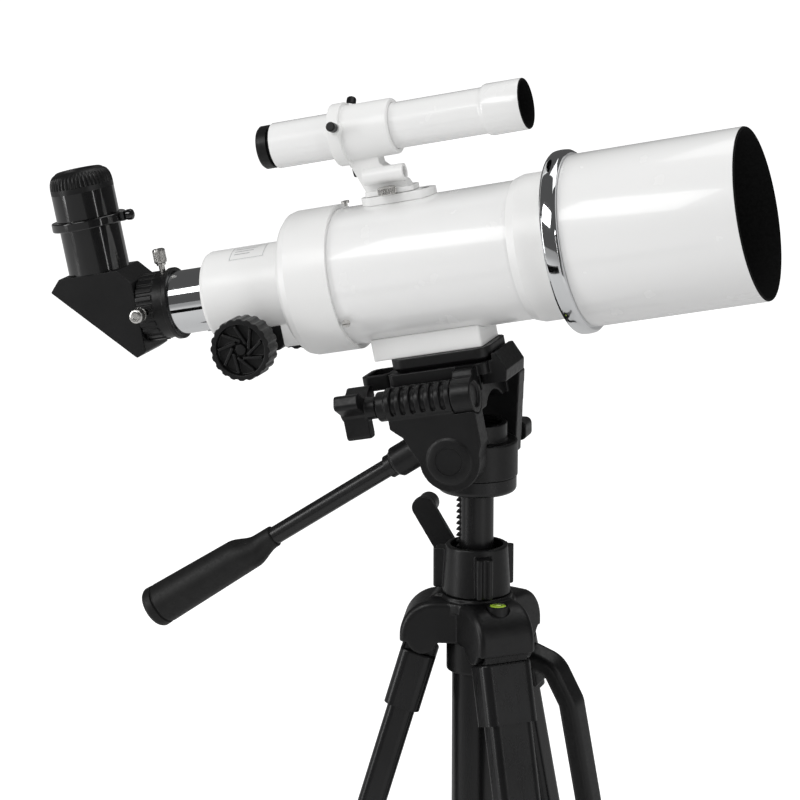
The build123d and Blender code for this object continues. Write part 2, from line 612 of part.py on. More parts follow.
def tilt_yoke():
    top = PLATFORM_BOTTOM - GAP
    waist = [(-6.8, -79.0), (-6.8, -104.0), (PIVOT_X + HUB_R - 0.4, PIVOT_Z),
             (PIVOT_X, PIVOT_Z - HUB_R + 0.4), (PIVOT_X - HUB_R + 0.6, PIVOT_Z),
             (-53.5, -94.0), (-60.5, -88.0), (-60.5, -79.0)]
    near = cheek(waist, -CHEEK_OUT, -CHEEK_IN)
    far_line = [(-4.0, -68.0), (3.0, -76.0), (-9.2, -124.0), (PIVOT_X, PIVOT_Z - HUB_R + 0.4),
                (PIVOT_X - HUB_R + 0.6, PIVOT_Z), (-53.5, -94.0), (-60.5, -88.0), (-60.5, -68.0)]
    far = cheek(far_line, CHEEK_IN, FAR_OUT)
    bridge = block(-60.5, -6.8, -CHEEK_IN - 1, CHEEK_IN + 1, -86, top)
    bridge += block(-60.5, -6.8, -CHEEK_OUT, -CHEEK_IN, -86, -78)
    bridge += block(-60.5, -6.8, CHEEK_IN, FAR_OUT, -80, top)
    shape = near + far + bridge
    arch = Pos(0, 0, PIVOT_Z + 5.5) * rod_x(CHEEK_IN, -100, 60)
    shape -= arch
    shape -= block(-100, 60, -CHEEK_IN, CHEEK_IN, PIVOT_Z - 40, PIVOT_Z + 5.5)
    shape -= rod_x(HINGE_R + 0.4 + GAP, -19.5, 0, HINGE_Y, HINGE_Z)
    shape -= block(-19.5, 0, HINGE_Y - 8, HINGE_Y + 14.5, HINGE_Z, HINGE_Z + 15)
    shape += hinge_barrel()
    shape -= rod_x(3.2 + GAP, -80, 0, HINGE_Y, HINGE_Z)
    shape -= rod_y(13.9, -CHEEK_OUT - 1, -CHEEK_OUT + 0.8, PIVOT_X, PIVOT_Z)
    shape += rod_y(13.4, -CHEEK_OUT - 0.9, -CHEEK_OUT + 1, PIVOT_X, PIVOT_Z)
    groove = rod_y(8.6, -CHEEK_OUT - 2, -CHEEK_OUT - 0.2, PIVOT_X, PIVOT_Z)
    shape -= groove - rod_y(8.1, -CHEEK_OUT - 3, -CHEEK_OUT, PIVOT_X, PIVOT_Z)
    shape -= rod_y(TILT_PIN_R + GAP, CHEEK_IN + 2, FAR_OUT + 1, PIVOT_X, PIVOT_Z)
    shape += rod_y(TILT_PIN_R, -CHEEK_IN - 1, CHEEK_IN + 2, PIVOT_X, PIVOT_Z)
    return on_tube(shape) + upright(along_handle(handle_socket()))


def along_handle(shape):
    """Place a shape drawn along Z on the handle's axis, Z away from the head."""
    return Pos(*HANDLE_START) * Rot(0, -90 - HANDLE_SLOPE, 0) * shape


def handle_socket():
    shape = rod_z(9.4, -19.0, 3.0)
    shape += rod_z(8.2, 2.0, 4.5)
    return shape - rod_z(HANDLE_ROD_R + GAP, -12.0, 10.0)


def tilt_lock_knob():
    knob = lobed(10.5, 6.0, 22.5, (10, 130, 250), 14.0)
    shape = Pos(PIVOT_X, 43.5, PIVOT_Z) * Rot(-90, 0, 0) * knob
    shape += rod_y(8.5, FAR_OUT + GAP, 44.0, PIVOT_X, PIVOT_Z)
    return shape + rod_y(TILT_PIN_R, CHEEK_IN + 2 + GAP, FAR_OUT + 1, PIVOT_X, PIVOT_Z)


def handle_rod():
    shape = rod_z(HANDLE_ROD_R, -11.0, GRIP_FROM + 60)
    return shape + rod_z(HANDLE_ROD_R + 1.6, 5.0, 9.0)


def handle_grip():
    start = 9.4
    end = 13.0
    grip = Pos(0, 0, (GRIP_FROM + GRIP_TO) / 2) * Cone(start, end, GRIP_TO - GRIP_FROM)
    grip = fillet(grip.edges().group_by(Axis.Z)[0], 2.5)
    cap = rod_z(end - 0.8, GRIP_TO - 1, GRIP_TO + 1.2) + rod_z(end - 0.2, GRIP_TO + 1.2, GRIP_TO + 8)
    cap = fillet(cap.edges().group_by(Axis.Z)[-1], 2.5)
    return grip + cap - rod_z(HANDLE_ROD_R + SEAT, 0, GRIP_FROM + 61)


def pan_housing():
    shape = rod_z(PAN_R, -PAN_BOTTOM, -PAN_TOP)
    shape = fillet(shape.edges().group_by(Axis.Z)[-1], 1.2)
    shape += rod_z(17.7, -PAN_TOP - 1, -99.0)
    shape -= rod_z(14.2, -102.5, -90)
    spindle = 6.0 + GAP
    shape -= rod_z(spindle, -PAN_BOTTOM - 1, -120.5)
    turn = math.radians(TILT)
    x = PIVOT_X * math.cos(turn) - PIVOT_Z * math.sin(turn)
    z = PIVOT_X * math.sin(turn) + PIVOT_Z * math.cos(turn)
    return shape - rod_y(TILT_PIN_R + GAP, -40, 40, x, z)


# ---- column and tripod --------------------------------------------------
def column_rack():
    """The rack on the column, drawn with its teeth pointing along +X."""
    pitch = 2 * math.pi * CRANK_PITCH_R / CRANK_TEETH
    bar = rack_x(-COLUMN_END + 4, -COLUMN_TOP - 3, pitch, -CRANK_DROP, 6.0)
    bar = Pos(RACK_PITCH_R, 0, 0) * Rot(0, -90, 0) * bar
    return bar


def column():
    shape = rod_z(COLUMN_R, -COLUMN_END, -COLUMN_TOP + 0.5)
    shape -= rod_z(COLUMN_R - 1.5, -COLUMN_END - 1, -COLUMN_TOP - 6)
    disc = rod_z(PAN_R - 0.6, -COLUMN_TOP, -BASE_DISC_TOP)
    shape += fillet(disc.edges().group_by(Axis.Z)[0], 3)
    shape += rod_z(6.0, -BASE_DISC_TOP - 1, -121.0)
    rack = Rot(0, 0, RACK_AZIMUTH) * (column_rack() - rod_z(COLUMN_R - 0.5, -500, 0))
    return shape + rack


def column_collar():
    shape = Pos(0, 0, -(COLLAR_FROM + COLLAR_TO) / 2) * Cone(20.4, 18.6, COLLAR_TO - COLLAR_FROM)
    shape = fillet(shape.edges().group_by(Axis.Z)[-1], 1.2)
    for angle in COLLAR_LOBES:
        lobe = soft_box(16, 26.5, -5.0, 5.0, -COLLAR_TO + 1.0, -COLLAR_FROM - 4.0, 2.2)
        lobe -= rod_z(2.0, -COLLAR_TO, -COLLAR_FROM, 27.0, 0)
        shape += Rot(0, 0, angle) * lobe
    shape -= rod_z(15.8, -COLLAR_FROM - 9, -COLLAR_FROM + 1)
    return shape - rod_z(BORE_R, -COLLAR_TO - 1, -COLLAR_FROM)


def shoulder():
    """One hollow shoulder of the spider, drawn pointing along +X, hinge at its own place."""
    top = -SPIDER_TOP - 2.0
    low = -LEG_PIVOT_DROP - 2.0
    out = LEG_PIVOT_R + 14.0
    half = LEG_HALF + 1.7
    shape = block(8, out, -half, half, low, top)
    crown = shape.edges().filter_by(Axis.Y).group_by(Axis.Z)[-1].sort_by(Axis.X)[-1]
    shape = fillet(crown, 22.0)
    sides = shape.edges().filter_by(Axis.X).group_by(Axis.Z)[-1]
    shape = fillet(sides, 4.0)
    for y in (-half, TONGUE_HALF + GAP):
        shape += rod_y(9.0, y, y + half - TONGUE_HALF - GAP, LEG_PIVOT_R, -LEG_PIVOT_DROP)
    slot = block(20.0, out + 5, -TONGUE_HALF - GAP, TONGUE_HALF + GAP, low - 20, -LEG_PIVOT_DROP + 11)
    slot -= block(out - 3.2, out + 6, -30, 30, low, 0)
    shape -= slot
    return shape + rod_y(3.0, -half + 1, half - 1, LEG_PIVOT_R, -LEG_PIVOT_DROP)


def crank_axis(shape):
    """Place a shape drawn with the pinion at the origin and the crank's axis along +Z."""
    spin = Rot(0, 0, RACK_AZIMUTH)
    pinion = Pos(RACK_PITCH_R + CRANK_PITCH_R, 0, -CRANK_DROP)
    return upright(spin * pinion * Rot(90, 0, 0) * shape)


def spider():
    shape = rod_z(18.0, -252.0, -SPIDER_TOP - 2)
    for azimuth in LEG_AZIMUTHS:
        shape += Rot(0, 0, azimuth) * shoulder()
    shape += rod_z(23.2, -SPIDER_TOP - 9.0, -SPIDER_TOP - 3.0)
    shape += rod_z(21.6, -SPIDER_TOP - 4.0, -SPIDER_TOP)
    boss = crank_axis(rod_z(10.5, -10.0, 10.0) + rod_z(8.5, 5.0, CRANK_ARM_AT - 1.0))
    shape = upright(shape) + boss
    shape -= upright(rod_z(BORE_R, -300, -150))
    shape -= upright(rod_z(GUIDE_R + SEAT, -300, -238))
    vial = Rot(0, 0, LEG_AZIMUTHS[0]) * rod_z(6.6, -211.0, -200.0, 29.5)
    shape -= upright(vial)
    shape -= crank_axis(rod_z(CRANK_PITCH_R + 1.4, -6.2, 6.2))
    return shape - crank_axis(rod_z(3.5 + GAP, -9.5, 80.0))


def bubble_level():
    vial = rod_z(6.5, -210.8, -204.9, 29.5)
    return fillet(vial.edges().group_by(Axis.Z)[-1], 1.0)


def crank_arm():
    shaft = rod_z(3.5, -9.0, CRANK_ARM_AT + 2)
    shaft += gear(CRANK_PITCH_R, CRANK_TEETH, 11.0)
    arm = soft_box(-7.0, 7.0, -7.5, CRANK_ARM + 7.5, CRANK_ARM_AT, CRANK_ARM_AT + 6, 6.5)
    arm = chamfer(arm.edges().group_by(Axis.Z)[-1], 1.2)
    arm += rod_z(7.5, CRANK_ARM_AT, CRANK_ARM_AT + 8.0)
    arm += rod_z(2.2, CRANK_ARM_AT + 5, CRANK_ARM_AT + 18.5, 0, CRANK_ARM)
    return shaft + Rot(0, 0, -CRANK_LEAN) * arm


def crank_knob():
    knob = rod_z(6.5, CRANK_ARM_AT + 6 + GAP, CRANK_ARM_AT + 20, 0, CRANK_ARM)
    knob = fillet(knob.edges().filter_by(GeomType.CIRCLE), 1.5)
    knob -= rod_z(2.2 + GAP, CRANK_ARM_AT, CRANK_ARM_AT + 19, 0, CRANK_ARM)
    return Rot(0, 0, -CRANK_LEAN) * knob


def guide_tube():
    return rod_z(GUIDE_R, -GUIDE_END, -240.0) - rod_z(BORE_R + 0.1, -500, -200)


# ---- legs ---------------------------------------------------------------
def leg_section(half_width, half_depth, radius, z0, z1):
    return soft_box(-half_depth, half_depth, -half_width, half_width, z0, z1, radius)


def leg_upper():
    depth = LEG_DEPTH / 2
    sleeve = leg_section(LEG_HALF, depth, 6.0, -SLEEVE_END, -9.5)
    sleeve = fillet(sleeve.edges().group_by(Axis.Z)[-1], 1.5)
    sleeve += rod_y(8.6, -TONGUE_HALF, TONGUE_HALF, 0, 0)
    sleeve += block(-8.6, 8.6, -TONGUE_HALF, TONGUE_HALF, -12, 0)
    sleeve -= leg_section(13.5 + SEAT, 8.5 + SEAT, 5.0, -80, -16)
    sleeve -= rod_y(3.0 + GAP, -20, 20, 0, 0)
    tube = leg_section(13.5, 8.5, 5.0, -392, -16 - SEAT)
    tube -= leg_section(12.3, 7.3, 4.0, -400, -20)
    clamp = leg_section(17.0, 12.0, 5.0, -412, -376)
    clamp = fillet(clamp.edges().group_by(Axis.Z)[0], 1.5)
    clamp -= leg_section(13.5 + SEAT, 8.5 + SEAT, 5.0, -393, -370)
    clamp -= leg_section(11.0 + GAP, 6.0 + GAP, 3.6, -420, -380)
    for side in (-1, 1):
        ear = block(11.0, LOCK_X, side * 9.5, side * 13.0, LOCK_Z - 3.4, LOCK_Z + 3.4)
        ear += rod_y(3.4, side * 9.5, side * 13.0, LOCK_X, LOCK_Z)
        clamp += ear - rod_y(1.8 + GAP, side * 9.0, side * 14.0, LOCK_X, LOCK_Z)
    return Compound(children=[sleeve, tube, clamp])


def leg_lower():
    tube = leg_section(11.0, 6.0, 3.6, -FOOT_AT + 2, -110)
    return tube - leg_section(9.8, 4.8, 2.6, -FOOT_AT + 8, -100)


def foot():
    shape = leg_section(12.2, 9.0, 4.0, -FOOT_AT, -FOOT_AT + 12)
    shape += Pos(0, 0, -FOOT_AT) * Sphere(FOOT_R)
    return shape - leg_section(11.0 + SEAT, 6.0 + SEAT, 3.6, -FOOT_AT + 2 - SEAT, 0)


def lock_lever():
    pin = rod_y(1.8, -12.8, 12.8, LOCK_X, LOCK_Z)
    blade = soft_box(12.5, 17.0, -9.2, 9.2, -411.0, LOCK_Z + 1.6, 1.8, Axis.Y)
    return pin + blade


def carry_handle():
    """A finger handle moulded on the side of one leg, drawn in the leg's frame."""
    path = FilletPolyline((0, -15.0, -21), (0, -31, -26), (0, -39.5, -50), (0, -39.5, -140),
                          (0, -30, -172), (0, -13.0, -184), radius=10)
    section = Plane(path @ 0, z_dir=path % 0) * RectangleRounded(13, 14, 3.5)
    shape = sweep(section, path)
    shape += soft_box(-7, 7, -20, -LEG_HALF - SEAT, -40, -18, 1.2)
    shape += soft_box(-7, 7, -20, -13.5 - SEAT, -194, -172, 1.2)
    shape -= leg_section(LEG_HALF + SEAT, 20, 1, -50, 0)
    return shape - leg_section(13.5 + SEAT, 20, 1, -210, -45)


# ---- write every piece --------------------------------------------------
def write_parts():
    os.makedirs("parts", exist_ok=True)
    tube_parts = {
        "dew_shield": dew_shield(),
        "chrome_ring": chrome_ring(),
        "lens_cell": lens_cell(),
        "front_lenses": front_lenses(),
        "main_tube": main_tube(),
        "rear_cell": rear_cell() - screw_holes(),
        "body_screws": body_screws(),
        "focuser_housing": focuser_housing(),
        "pinion_saddle": pinion_saddle(),
        "foot_block": foot_block(),
        "finder_base": finder_base(),
        "finder_bracket": finder_bracket(),
        "finder_clamp_screw": finder_clamp_screw(),
        "finder_screws": finder_screws(),
        "finder_tube": finder_tube(),
        "finder_eyepiece": finder_eyepiece(),
        "draw_tube": draw_tube(),
        "eyepiece_adapter": eyepiece_adapter(),
        "adapter_thumbscrew_top": Pos(-199.5, 0, 0) * thumbscrew(4.0, 25.5, 34.5, 16.3),
        "adapter_thumbscrew_side": Pos(-207.5, 0, 0) * Rot(90, 0, 0) * thumbscrew(4.2, 27.0, 36.0, 16.3),
        "pinion_shaft": pinion_shaft(),
        "focus_knobs": focus_knobs(),
        "diagonal_housing": diagonal_housing(),
        "diagonal_mirror": diagonal_mirror(),
        "eyepiece_holder": eyepiece_holder(),
        "holder_thumbscrew": holder_thumbscrew(),
        "eyepiece_body": eyepiece_body(),
        "eyepiece_crown": eyepiece_crown(),
        "eyepiece_lens": eyepiece_lens(),
        "quick_release_plate": quick_release_plate(),
        "plate_screw": plate_screw(),
        "platform": platform(),
        "release_lever": release_lever(),
        "side_tilt_knob": side_tilt_knob(),
        "tilt_lock_knob": tilt_lock_knob(),
    }
    for name, shape in tube_parts.items():
        save(on_tube(shape), name)
    save(tilt_yoke(), "tilt_yoke")
    save(upright(along_handle(handle_rod())), "handle_rod")
    save(upright(along_handle(handle_grip())), "handle_grip")
    save(upright(pan_housing()), "pan_housing")
    save(upright(column()), "column")
    save(upright(column_collar()), "column_collar")
    save(spider(), "spider")
    save(upright(Rot(0, 0, LEG_AZIMUTHS[0]) * bubble_level()), "bubble_level")
    save(crank_axis(crank_arm()), "crank_arm")
    save(crank_axis(crank_knob()), "crank_knob")
    save(upright(guide_tube()), "guide_tube")
    floor = block(-300, 300, -300, 300, -20, 0)
    for number, azimuth in enumerate(LEG_AZIMUTHS, start=1):
        save(on_leg(leg_upper(), azimuth), f"leg_upper_{number}")
        save(on_leg(leg_lower(), azimuth), f"leg_lower_{number}")
        save(on_leg(foot(), azimuth) - floor, f"foot_{number}")
        save(on_leg(lock_lever(), azimuth), f"lock_lever_{number}")
    save(on_leg(carry_handle(), LEG_AZIMUTHS[1]), "carry_handle")


write_parts()
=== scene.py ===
# %% [markdown]
# # A small refractor telescope on its camera tripod
# The CAD model gives every part its true size and place. This lesson dresses it: it finishes
# each CAD part with a procedural material, and rebuilds in mesh code the parts whose look
# depends on smooth curves, soft moulded edges or a lining that CAD doesn't carry.

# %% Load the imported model
import json
import math

import bmesh
import bpy
from mathutils import Matrix, Vector

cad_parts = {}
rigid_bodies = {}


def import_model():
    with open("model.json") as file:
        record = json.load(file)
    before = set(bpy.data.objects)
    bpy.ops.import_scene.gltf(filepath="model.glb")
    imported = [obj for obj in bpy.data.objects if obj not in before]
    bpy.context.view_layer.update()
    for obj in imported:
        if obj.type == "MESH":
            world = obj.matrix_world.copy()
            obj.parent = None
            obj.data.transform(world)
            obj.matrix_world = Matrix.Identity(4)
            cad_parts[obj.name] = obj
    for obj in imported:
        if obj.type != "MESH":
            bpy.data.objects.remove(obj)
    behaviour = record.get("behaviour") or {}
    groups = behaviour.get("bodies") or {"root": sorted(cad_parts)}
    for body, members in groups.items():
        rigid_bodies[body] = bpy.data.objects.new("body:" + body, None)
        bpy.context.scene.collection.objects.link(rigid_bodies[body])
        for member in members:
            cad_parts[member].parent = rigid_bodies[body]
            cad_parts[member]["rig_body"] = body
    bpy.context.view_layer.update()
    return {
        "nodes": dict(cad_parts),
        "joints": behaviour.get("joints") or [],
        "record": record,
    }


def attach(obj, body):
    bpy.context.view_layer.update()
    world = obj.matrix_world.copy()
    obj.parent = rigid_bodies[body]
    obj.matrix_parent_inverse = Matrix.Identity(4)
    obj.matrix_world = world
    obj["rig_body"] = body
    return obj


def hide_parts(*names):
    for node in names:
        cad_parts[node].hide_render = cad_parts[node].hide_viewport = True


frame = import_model()
nodes = frame["nodes"]
record = frame["record"]

# %% [markdown]
# The optical tube points nose up, so its parts are easiest to think of along its own axis.
# The record's mount on the dew shield's rim states a point on that axis and the axis itself,
# and the column axis is vertical. Where the two meet is the tube's origin: x runs forward
# along the tube, y away from the hand side, z up through the finder.

# %% The tube's own frame
MM = 0.001
mount = next(m for m in record["mounts"] if m["name"] == "dew_shield_rim")
forward = Vector(mount["axis"]).normalized()
rim_middle = Vector(mount["pos_m"])
tube_origin = rim_middle - forward * (rim_middle.x / forward.x)
side = Vector((0, 1, 0))
upward = forward.cross(side)
tube_frame = Matrix.Translation(tube_origin) @ Matrix((forward, side, upward)).transposed().to_4x4()
AXIS_HEIGHT = tube_origin.z
print("tube axis crosses the column at height", round(AXIS_HEIGHT, 4), "m")


def along_tube(node):
    """The lowest and highest distance along the tube, in mm, that a CAD part reaches."""
    inverse = tube_frame.inverted()
    xs = [(inverse @ v.co).x for v in nodes[node].data.vertices]
    return min(xs) / MM, max(xs) / MM


def tube_radius(node, height=0.0):
    """The largest distance of a CAD part, in mm, from an axis that lies height mm over the tube's."""
    inverse = tube_frame.inverted()
    spots = [inverse @ v.co for v in nodes[node].data.vertices]
    return max(math.hypot(p.y, p.z - height * MM) for p in spots) / MM


shield_rear, shield_front = along_tube("dew_shield")
shield_r = tube_radius("dew_shield")
ring_rear, ring_front = along_tube("chrome_ring")
ring_r = tube_radius("chrome_ring")
print("dew shield", round(shield_rear, 1), "to", round(shield_front, 1), "radius", round(shield_r, 1))

# %% [markdown]
# ## Finishes
# Each finish is a node tree on one Principled shader. Numbers that are the same all over sit
# on the shader's own sockets; only what changes from place to place, such as grain, dust or
# brush marks, comes in through noise. Object coordinates are in metres here, so a noise
# scale of 1000 gives features about a millimetre across.


# %% A helper that starts a finish
def new_finish(name, color, roughness, metallic=0.0, coat=0.0, coat_roughness=0.05, level=0.5):
    material = bpy.data.materials.new(name)
    material.use_nodes = True
    shader = material.node_tree.nodes["Principled BSDF"]
    shader.inputs["Base Color"].default_value = (*color, 1)
    shader.inputs["Roughness"].default_value = roughness
    shader.inputs["Metallic"].default_value = metallic
    shader.inputs["Coat Weight"].default_value = coat
    shader.inputs["Coat Roughness"].default_value = coat_roughness
    shader.inputs["Specular IOR Level"].default_value = level
    return material, shader


def noise(material, scale, detail=3.0, stretch=(1, 1, 1)):
    """Noise in object space; stretch squeezes it along an axis, for brushed or combed marks."""
    tree = material.node_tree
    coordinates = tree.nodes.new("ShaderNodeTexCoord")
    mapping = tree.nodes.new("ShaderNodeMapping")
    mapping.inputs["Scale"].default_value = stretch
    tree.links.new(coordinates.outputs["Object"], mapping.inputs["Vector"])
    texture = tree.nodes.new("ShaderNodeTexNoise")
    texture.inputs["Scale"].default_value = scale
    texture.inputs["Detail"].default_value = detail
    tree.links.new(mapping.outputs["Vector"], texture.inputs["Vector"])
    return texture.outputs["Fac"]


def vary(material, shader, socket, source, low, high):
    """Drive a shader value between low and high with a texture."""
    tree = material.node_tree
    spread = tree.nodes.new("ShaderNodeMapRange")
    spread.inputs["From Min"].default_value = 0.3
    spread.inputs["From Max"].default_value = 0.7
    spread.inputs["To Min"].default_value = low
    spread.inputs["To Max"].default_value = high
    tree.links.new(source, spread.inputs["Value"])
    tree.links.new(spread.outputs["Result"], shader.inputs[socket])


def tint(material, shader, source, dark, light):
    """Blend the base colour between two close shades with a texture."""
    tree = material.node_tree
    ramp = tree.nodes.new("ShaderNodeValToRGB")
    ramp.color_ramp.elements[0].position = 0.35
    ramp.color_ramp.elements[0].color = (*dark, 1)
    ramp.color_ramp.elements[1].position = 0.65
    ramp.color_ramp.elements[1].color = (*light, 1)
    tree.links.new(source, ramp.inputs["Fac"])
    tree.links.new(ramp.outputs["Color"], shader.inputs["Base Color"])


def relief(material, shader, source, depth_mm, strength=1.0):
    """Raise the surface by a texture, depth in millimetres."""
    tree = material.node_tree
    bump = tree.nodes.new("ShaderNodeBump")
    bump.inputs["Distance"].default_value = depth_mm * MM
    bump.inputs["Strength"].default_value = strength
    tree.links.new(source, bump.inputs["Height"])
    tree.links.new(bump.outputs["Normal"], shader.inputs["Normal"])


finishes = {}

# %% [markdown]
# The tubes are sprayed with white gloss enamel. Sprayed paint dries with a faint orange peel,
# so a very shallow slow noise bends the reflections a little, and roughness drifts slightly.

# %% White enamel and white moulded plastic
material, shader = new_finish("white_enamel", (0.84, 0.84, 0.83), 0.24, coat=0.5, coat_roughness=0.04)
tint(material, shader, noise(material, 9), (0.842, 0.842, 0.836), (0.856, 0.856, 0.852))
vary(material, shader, "Roughness", noise(material, 60), 0.22, 0.28)
relief(material, shader, noise(material, 520, 2), 0.006, 0.2)
finishes["white_enamel"] = material

material, shader = new_finish("white_plastic", (0.83, 0.83, 0.82), 0.34, coat=0.12, coat_roughness=0.2)
tint(material, shader, noise(material, 14), (0.832, 0.832, 0.824), (0.845, 0.845, 0.839))
vary(material, shader, "Roughness", noise(material, 90), 0.30, 0.42)
relief(material, shader, noise(material, 1500, 2), 0.015, 0.3)
finishes["white_plastic"] = material
print("white finishes:", sorted(finishes))

# %% [markdown]
# Chrome plate is a near-perfect mirror: its life comes from what it reflects, with only hair
# scratches and a trace of haze. The screws are nickel-plated steel, turned on a lathe, so
# their marks run round and their shine is broader.

# %% Chrome, nickel and aluminium
material, shader = new_finish("chrome", (0.78, 0.79, 0.80), 0.05, metallic=1.0)
vary(material, shader, "Roughness", noise(material, 700, 4, (0.08, 1, 1)), 0.03, 0.09)
relief(material, shader, noise(material, 2500, 3, (0.05, 1, 1)), 0.004, 0.25)
finishes["chrome"] = material

material, shader = new_finish("steel", (0.66, 0.65, 0.63), 0.22, metallic=1.0)
vary(material, shader, "Roughness", noise(material, 1600, 4), 0.16, 0.32)
relief(material, shader, noise(material, 5000, 3), 0.01, 0.3)
finishes["steel"] = material

# %% [markdown]
# Most of the head and tripod is injection-moulded black plastic from a spark-eroded mould:
# a satin skin with a very fine even grain, which turns reflections into soft sheens. The
# extruded legs and the column are black anodised metal, smoother, with faint drawing lines.

# %% Black plastics and black metal
material, shader = new_finish("black_plastic", (0.006, 0.006, 0.0065), 0.36, level=0.34)
tint(material, shader, noise(material, 40), (0.005, 0.005, 0.0053), (0.0075, 0.0075, 0.0078))
vary(material, shader, "Roughness", noise(material, 500), 0.30, 0.44)
relief(material, shader, noise(material, 3800, 3), 0.02, 0.35)
finishes["black_plastic"] = material

material, shader = new_finish("gloss_black", (0.004, 0.004, 0.0043), 0.09, coat=0.6, coat_roughness=0.03)
vary(material, shader, "Roughness", noise(material, 220), 0.07, 0.13)
relief(material, shader, noise(material, 900, 2), 0.006, 0.2)
finishes["gloss_black"] = material

material, shader = new_finish("black_metal", (0.006, 0.006, 0.0065), 0.27, level=0.4)
tint(material, shader, noise(material, 30), (0.005, 0.005, 0.0053), (0.0075, 0.0075, 0.008))
vary(material, shader, "Roughness", noise(material, 260, 2, (1, 1, 0.05)), 0.26, 0.30)
relief(material, shader, noise(material, 1200, 2, (1, 1, 0.04)), 0.002, 0.1)
finishes["black_metal"] = material

material, shader = new_finish("black_rubber", (0.007, 0.007, 0.007), 0.5, level=0.35)
tint(material, shader, noise(material, 120), (0.006, 0.006, 0.006), (0.009, 0.009, 0.0088))
vary(material, shader, "Roughness", noise(material, 700), 0.45, 0.62)
relief(material, shader, noise(material, 2600, 4), 0.04, 0.4)
finishes["black_rubber"] = material

material, shader = new_finish("rod_paint", (0.006, 0.006, 0.0063), 0.3, level=0.5)
tint(material, shader, noise(material, 45), (0.005, 0.005, 0.0052), (0.0072, 0.0072, 0.0075))
vary(material, shader, "Roughness", noise(material, 260, 2), 0.26, 0.35)
relief(material, shader, noise(material, 1400, 2), 0.006, 0.25)
finishes["rod_paint"] = material

# %% [markdown]
# The insides of the dew shield and the finder are sprayed dead matt so that no stray light
# reaches the lens. A rough shader with almost no specular, speckled like soot, does it.

# %% Matt black lining, glass, mirror and level fluid
material, shader = new_finish("matt_lining", (0.006, 0.006, 0.006), 0.85, level=0.12)
tint(material, shader, noise(material, 600), (0.0045, 0.0045, 0.0045), (0.008, 0.008, 0.008))
relief(material, shader, noise(material, 2200, 4), 0.08, 0.5)
finishes["matt_lining"] = material

material, shader = new_finish("glass", (0.55, 0.78, 0.70), 0.02, coat=1.0, coat_roughness=0.01)
shader.inputs["Transmission Weight"].default_value = 0.85
shader.inputs["IOR"].default_value = 1.52
shader.inputs["Coat Tint"].default_value = (0.45, 0.75, 0.62, 1)
vary(material, shader, "Roughness", noise(material, 180), 0.01, 0.03)
finishes["glass"] = material

material, shader = new_finish("mirror", (0.90, 0.91, 0.92), 0.02, metallic=1.0)
vary(material, shader, "Roughness", noise(material, 150), 0.01, 0.04)
finishes["mirror"] = material

material, shader = new_finish("level_fluid", (0.42, 0.66, 0.05), 0.06, coat=1.0, coat_roughness=0.02)
tint(material, shader, noise(material, 260), (0.36, 0.60, 0.03), (0.50, 0.74, 0.08))
shader.inputs["Subsurface Weight"].default_value = 0.25
shader.inputs["Subsurface Radius"].default_value = (0.004, 0.005, 0.001)
finishes["level_fluid"] = material

material, shader = new_finish("bubble_light", (0.72, 0.86, 0.30), 0.05, coat=1.0, coat_roughness=0.01)
tint(material, shader, noise(material, 900), (0.68, 0.83, 0.26), (0.76, 0.89, 0.36))
finishes["bubble_light"] = material
print("finishes:", len(finishes))

# %% [markdown]
# ## Dressing the CAD parts
# The record names a slot for each part. White parts split in two: sprayed metal tubes, and
# moulded plastic castings, which are a little less glossy.

# %% Give every CAD part its finish
MOULDED_WHITE = ("lens_cell", "rear_cell", "focuser_housing", "foot_block", "finder_base", "finder_bracket")
for entry in record["subparts"]:
    part = nodes[entry["node"]]
    finish = entry["material_slot"]
    if entry["node"] in MOULDED_WHITE:
        finish = "white_plastic"
    if entry["node"] == "handle_rod":
        finish = "rod_paint"
    part.data.materials.clear()
    part.data.materials.append(finishes[finish])
print("dressed", len(record["subparts"]), "parts")

# %% [markdown]
# ## Building pieces
# Round parts are turned, as on a lathe: a profile of (distance, radius) corners is spun round
# the tube's axis in many steps, so the silhouette stays smooth. A bevel modifier breaks each
# sharp corner, because no real edge is perfectly sharp and the thin highlight sells it.


# %% Helpers: finish a mesh, and turn a profile
def settle(piece, body, slot_name, finish, *replaced):
    """Give a piece its finish and its body, and hide the CAD parts that it stands for."""
    piece.data.materials.clear()
    piece.data.materials.append(finishes[finish])
    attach(piece, body)
    if replaced:
        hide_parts(*replaced)
    print(piece.name, "faces:", len(piece.data.polygons))
    return piece


def record_slot(node):
    return next(s["material_slot"] for s in record["subparts"] if s["node"] == node)


def apply_modifiers(piece):
    """Turn a piece's modifiers into plain mesh."""
    evaluated = piece.evaluated_get(bpy.context.evaluated_depsgraph_get())
    baked = bpy.data.meshes.new_from_object(evaluated)
    piece.modifiers.clear()
    old = piece.data
    piece.data = baked
    bpy.data.meshes.remove(old)


def smooth_faces(piece, angle=32):
    piece.data.shade_smooth()
    piece.data.set_sharp_from_angle(angle=math.radians(angle))


def object_from(name, mesh_builder):
    mesh = bpy.data.meshes.new(name)
    mesh_builder.to_mesh(mesh)
    mesh_builder.free()
    piece = bpy.data.objects.new(name, mesh)
    bpy.context.scene.collection.objects.link(piece)
    return piece


AXIS_R = 0.01


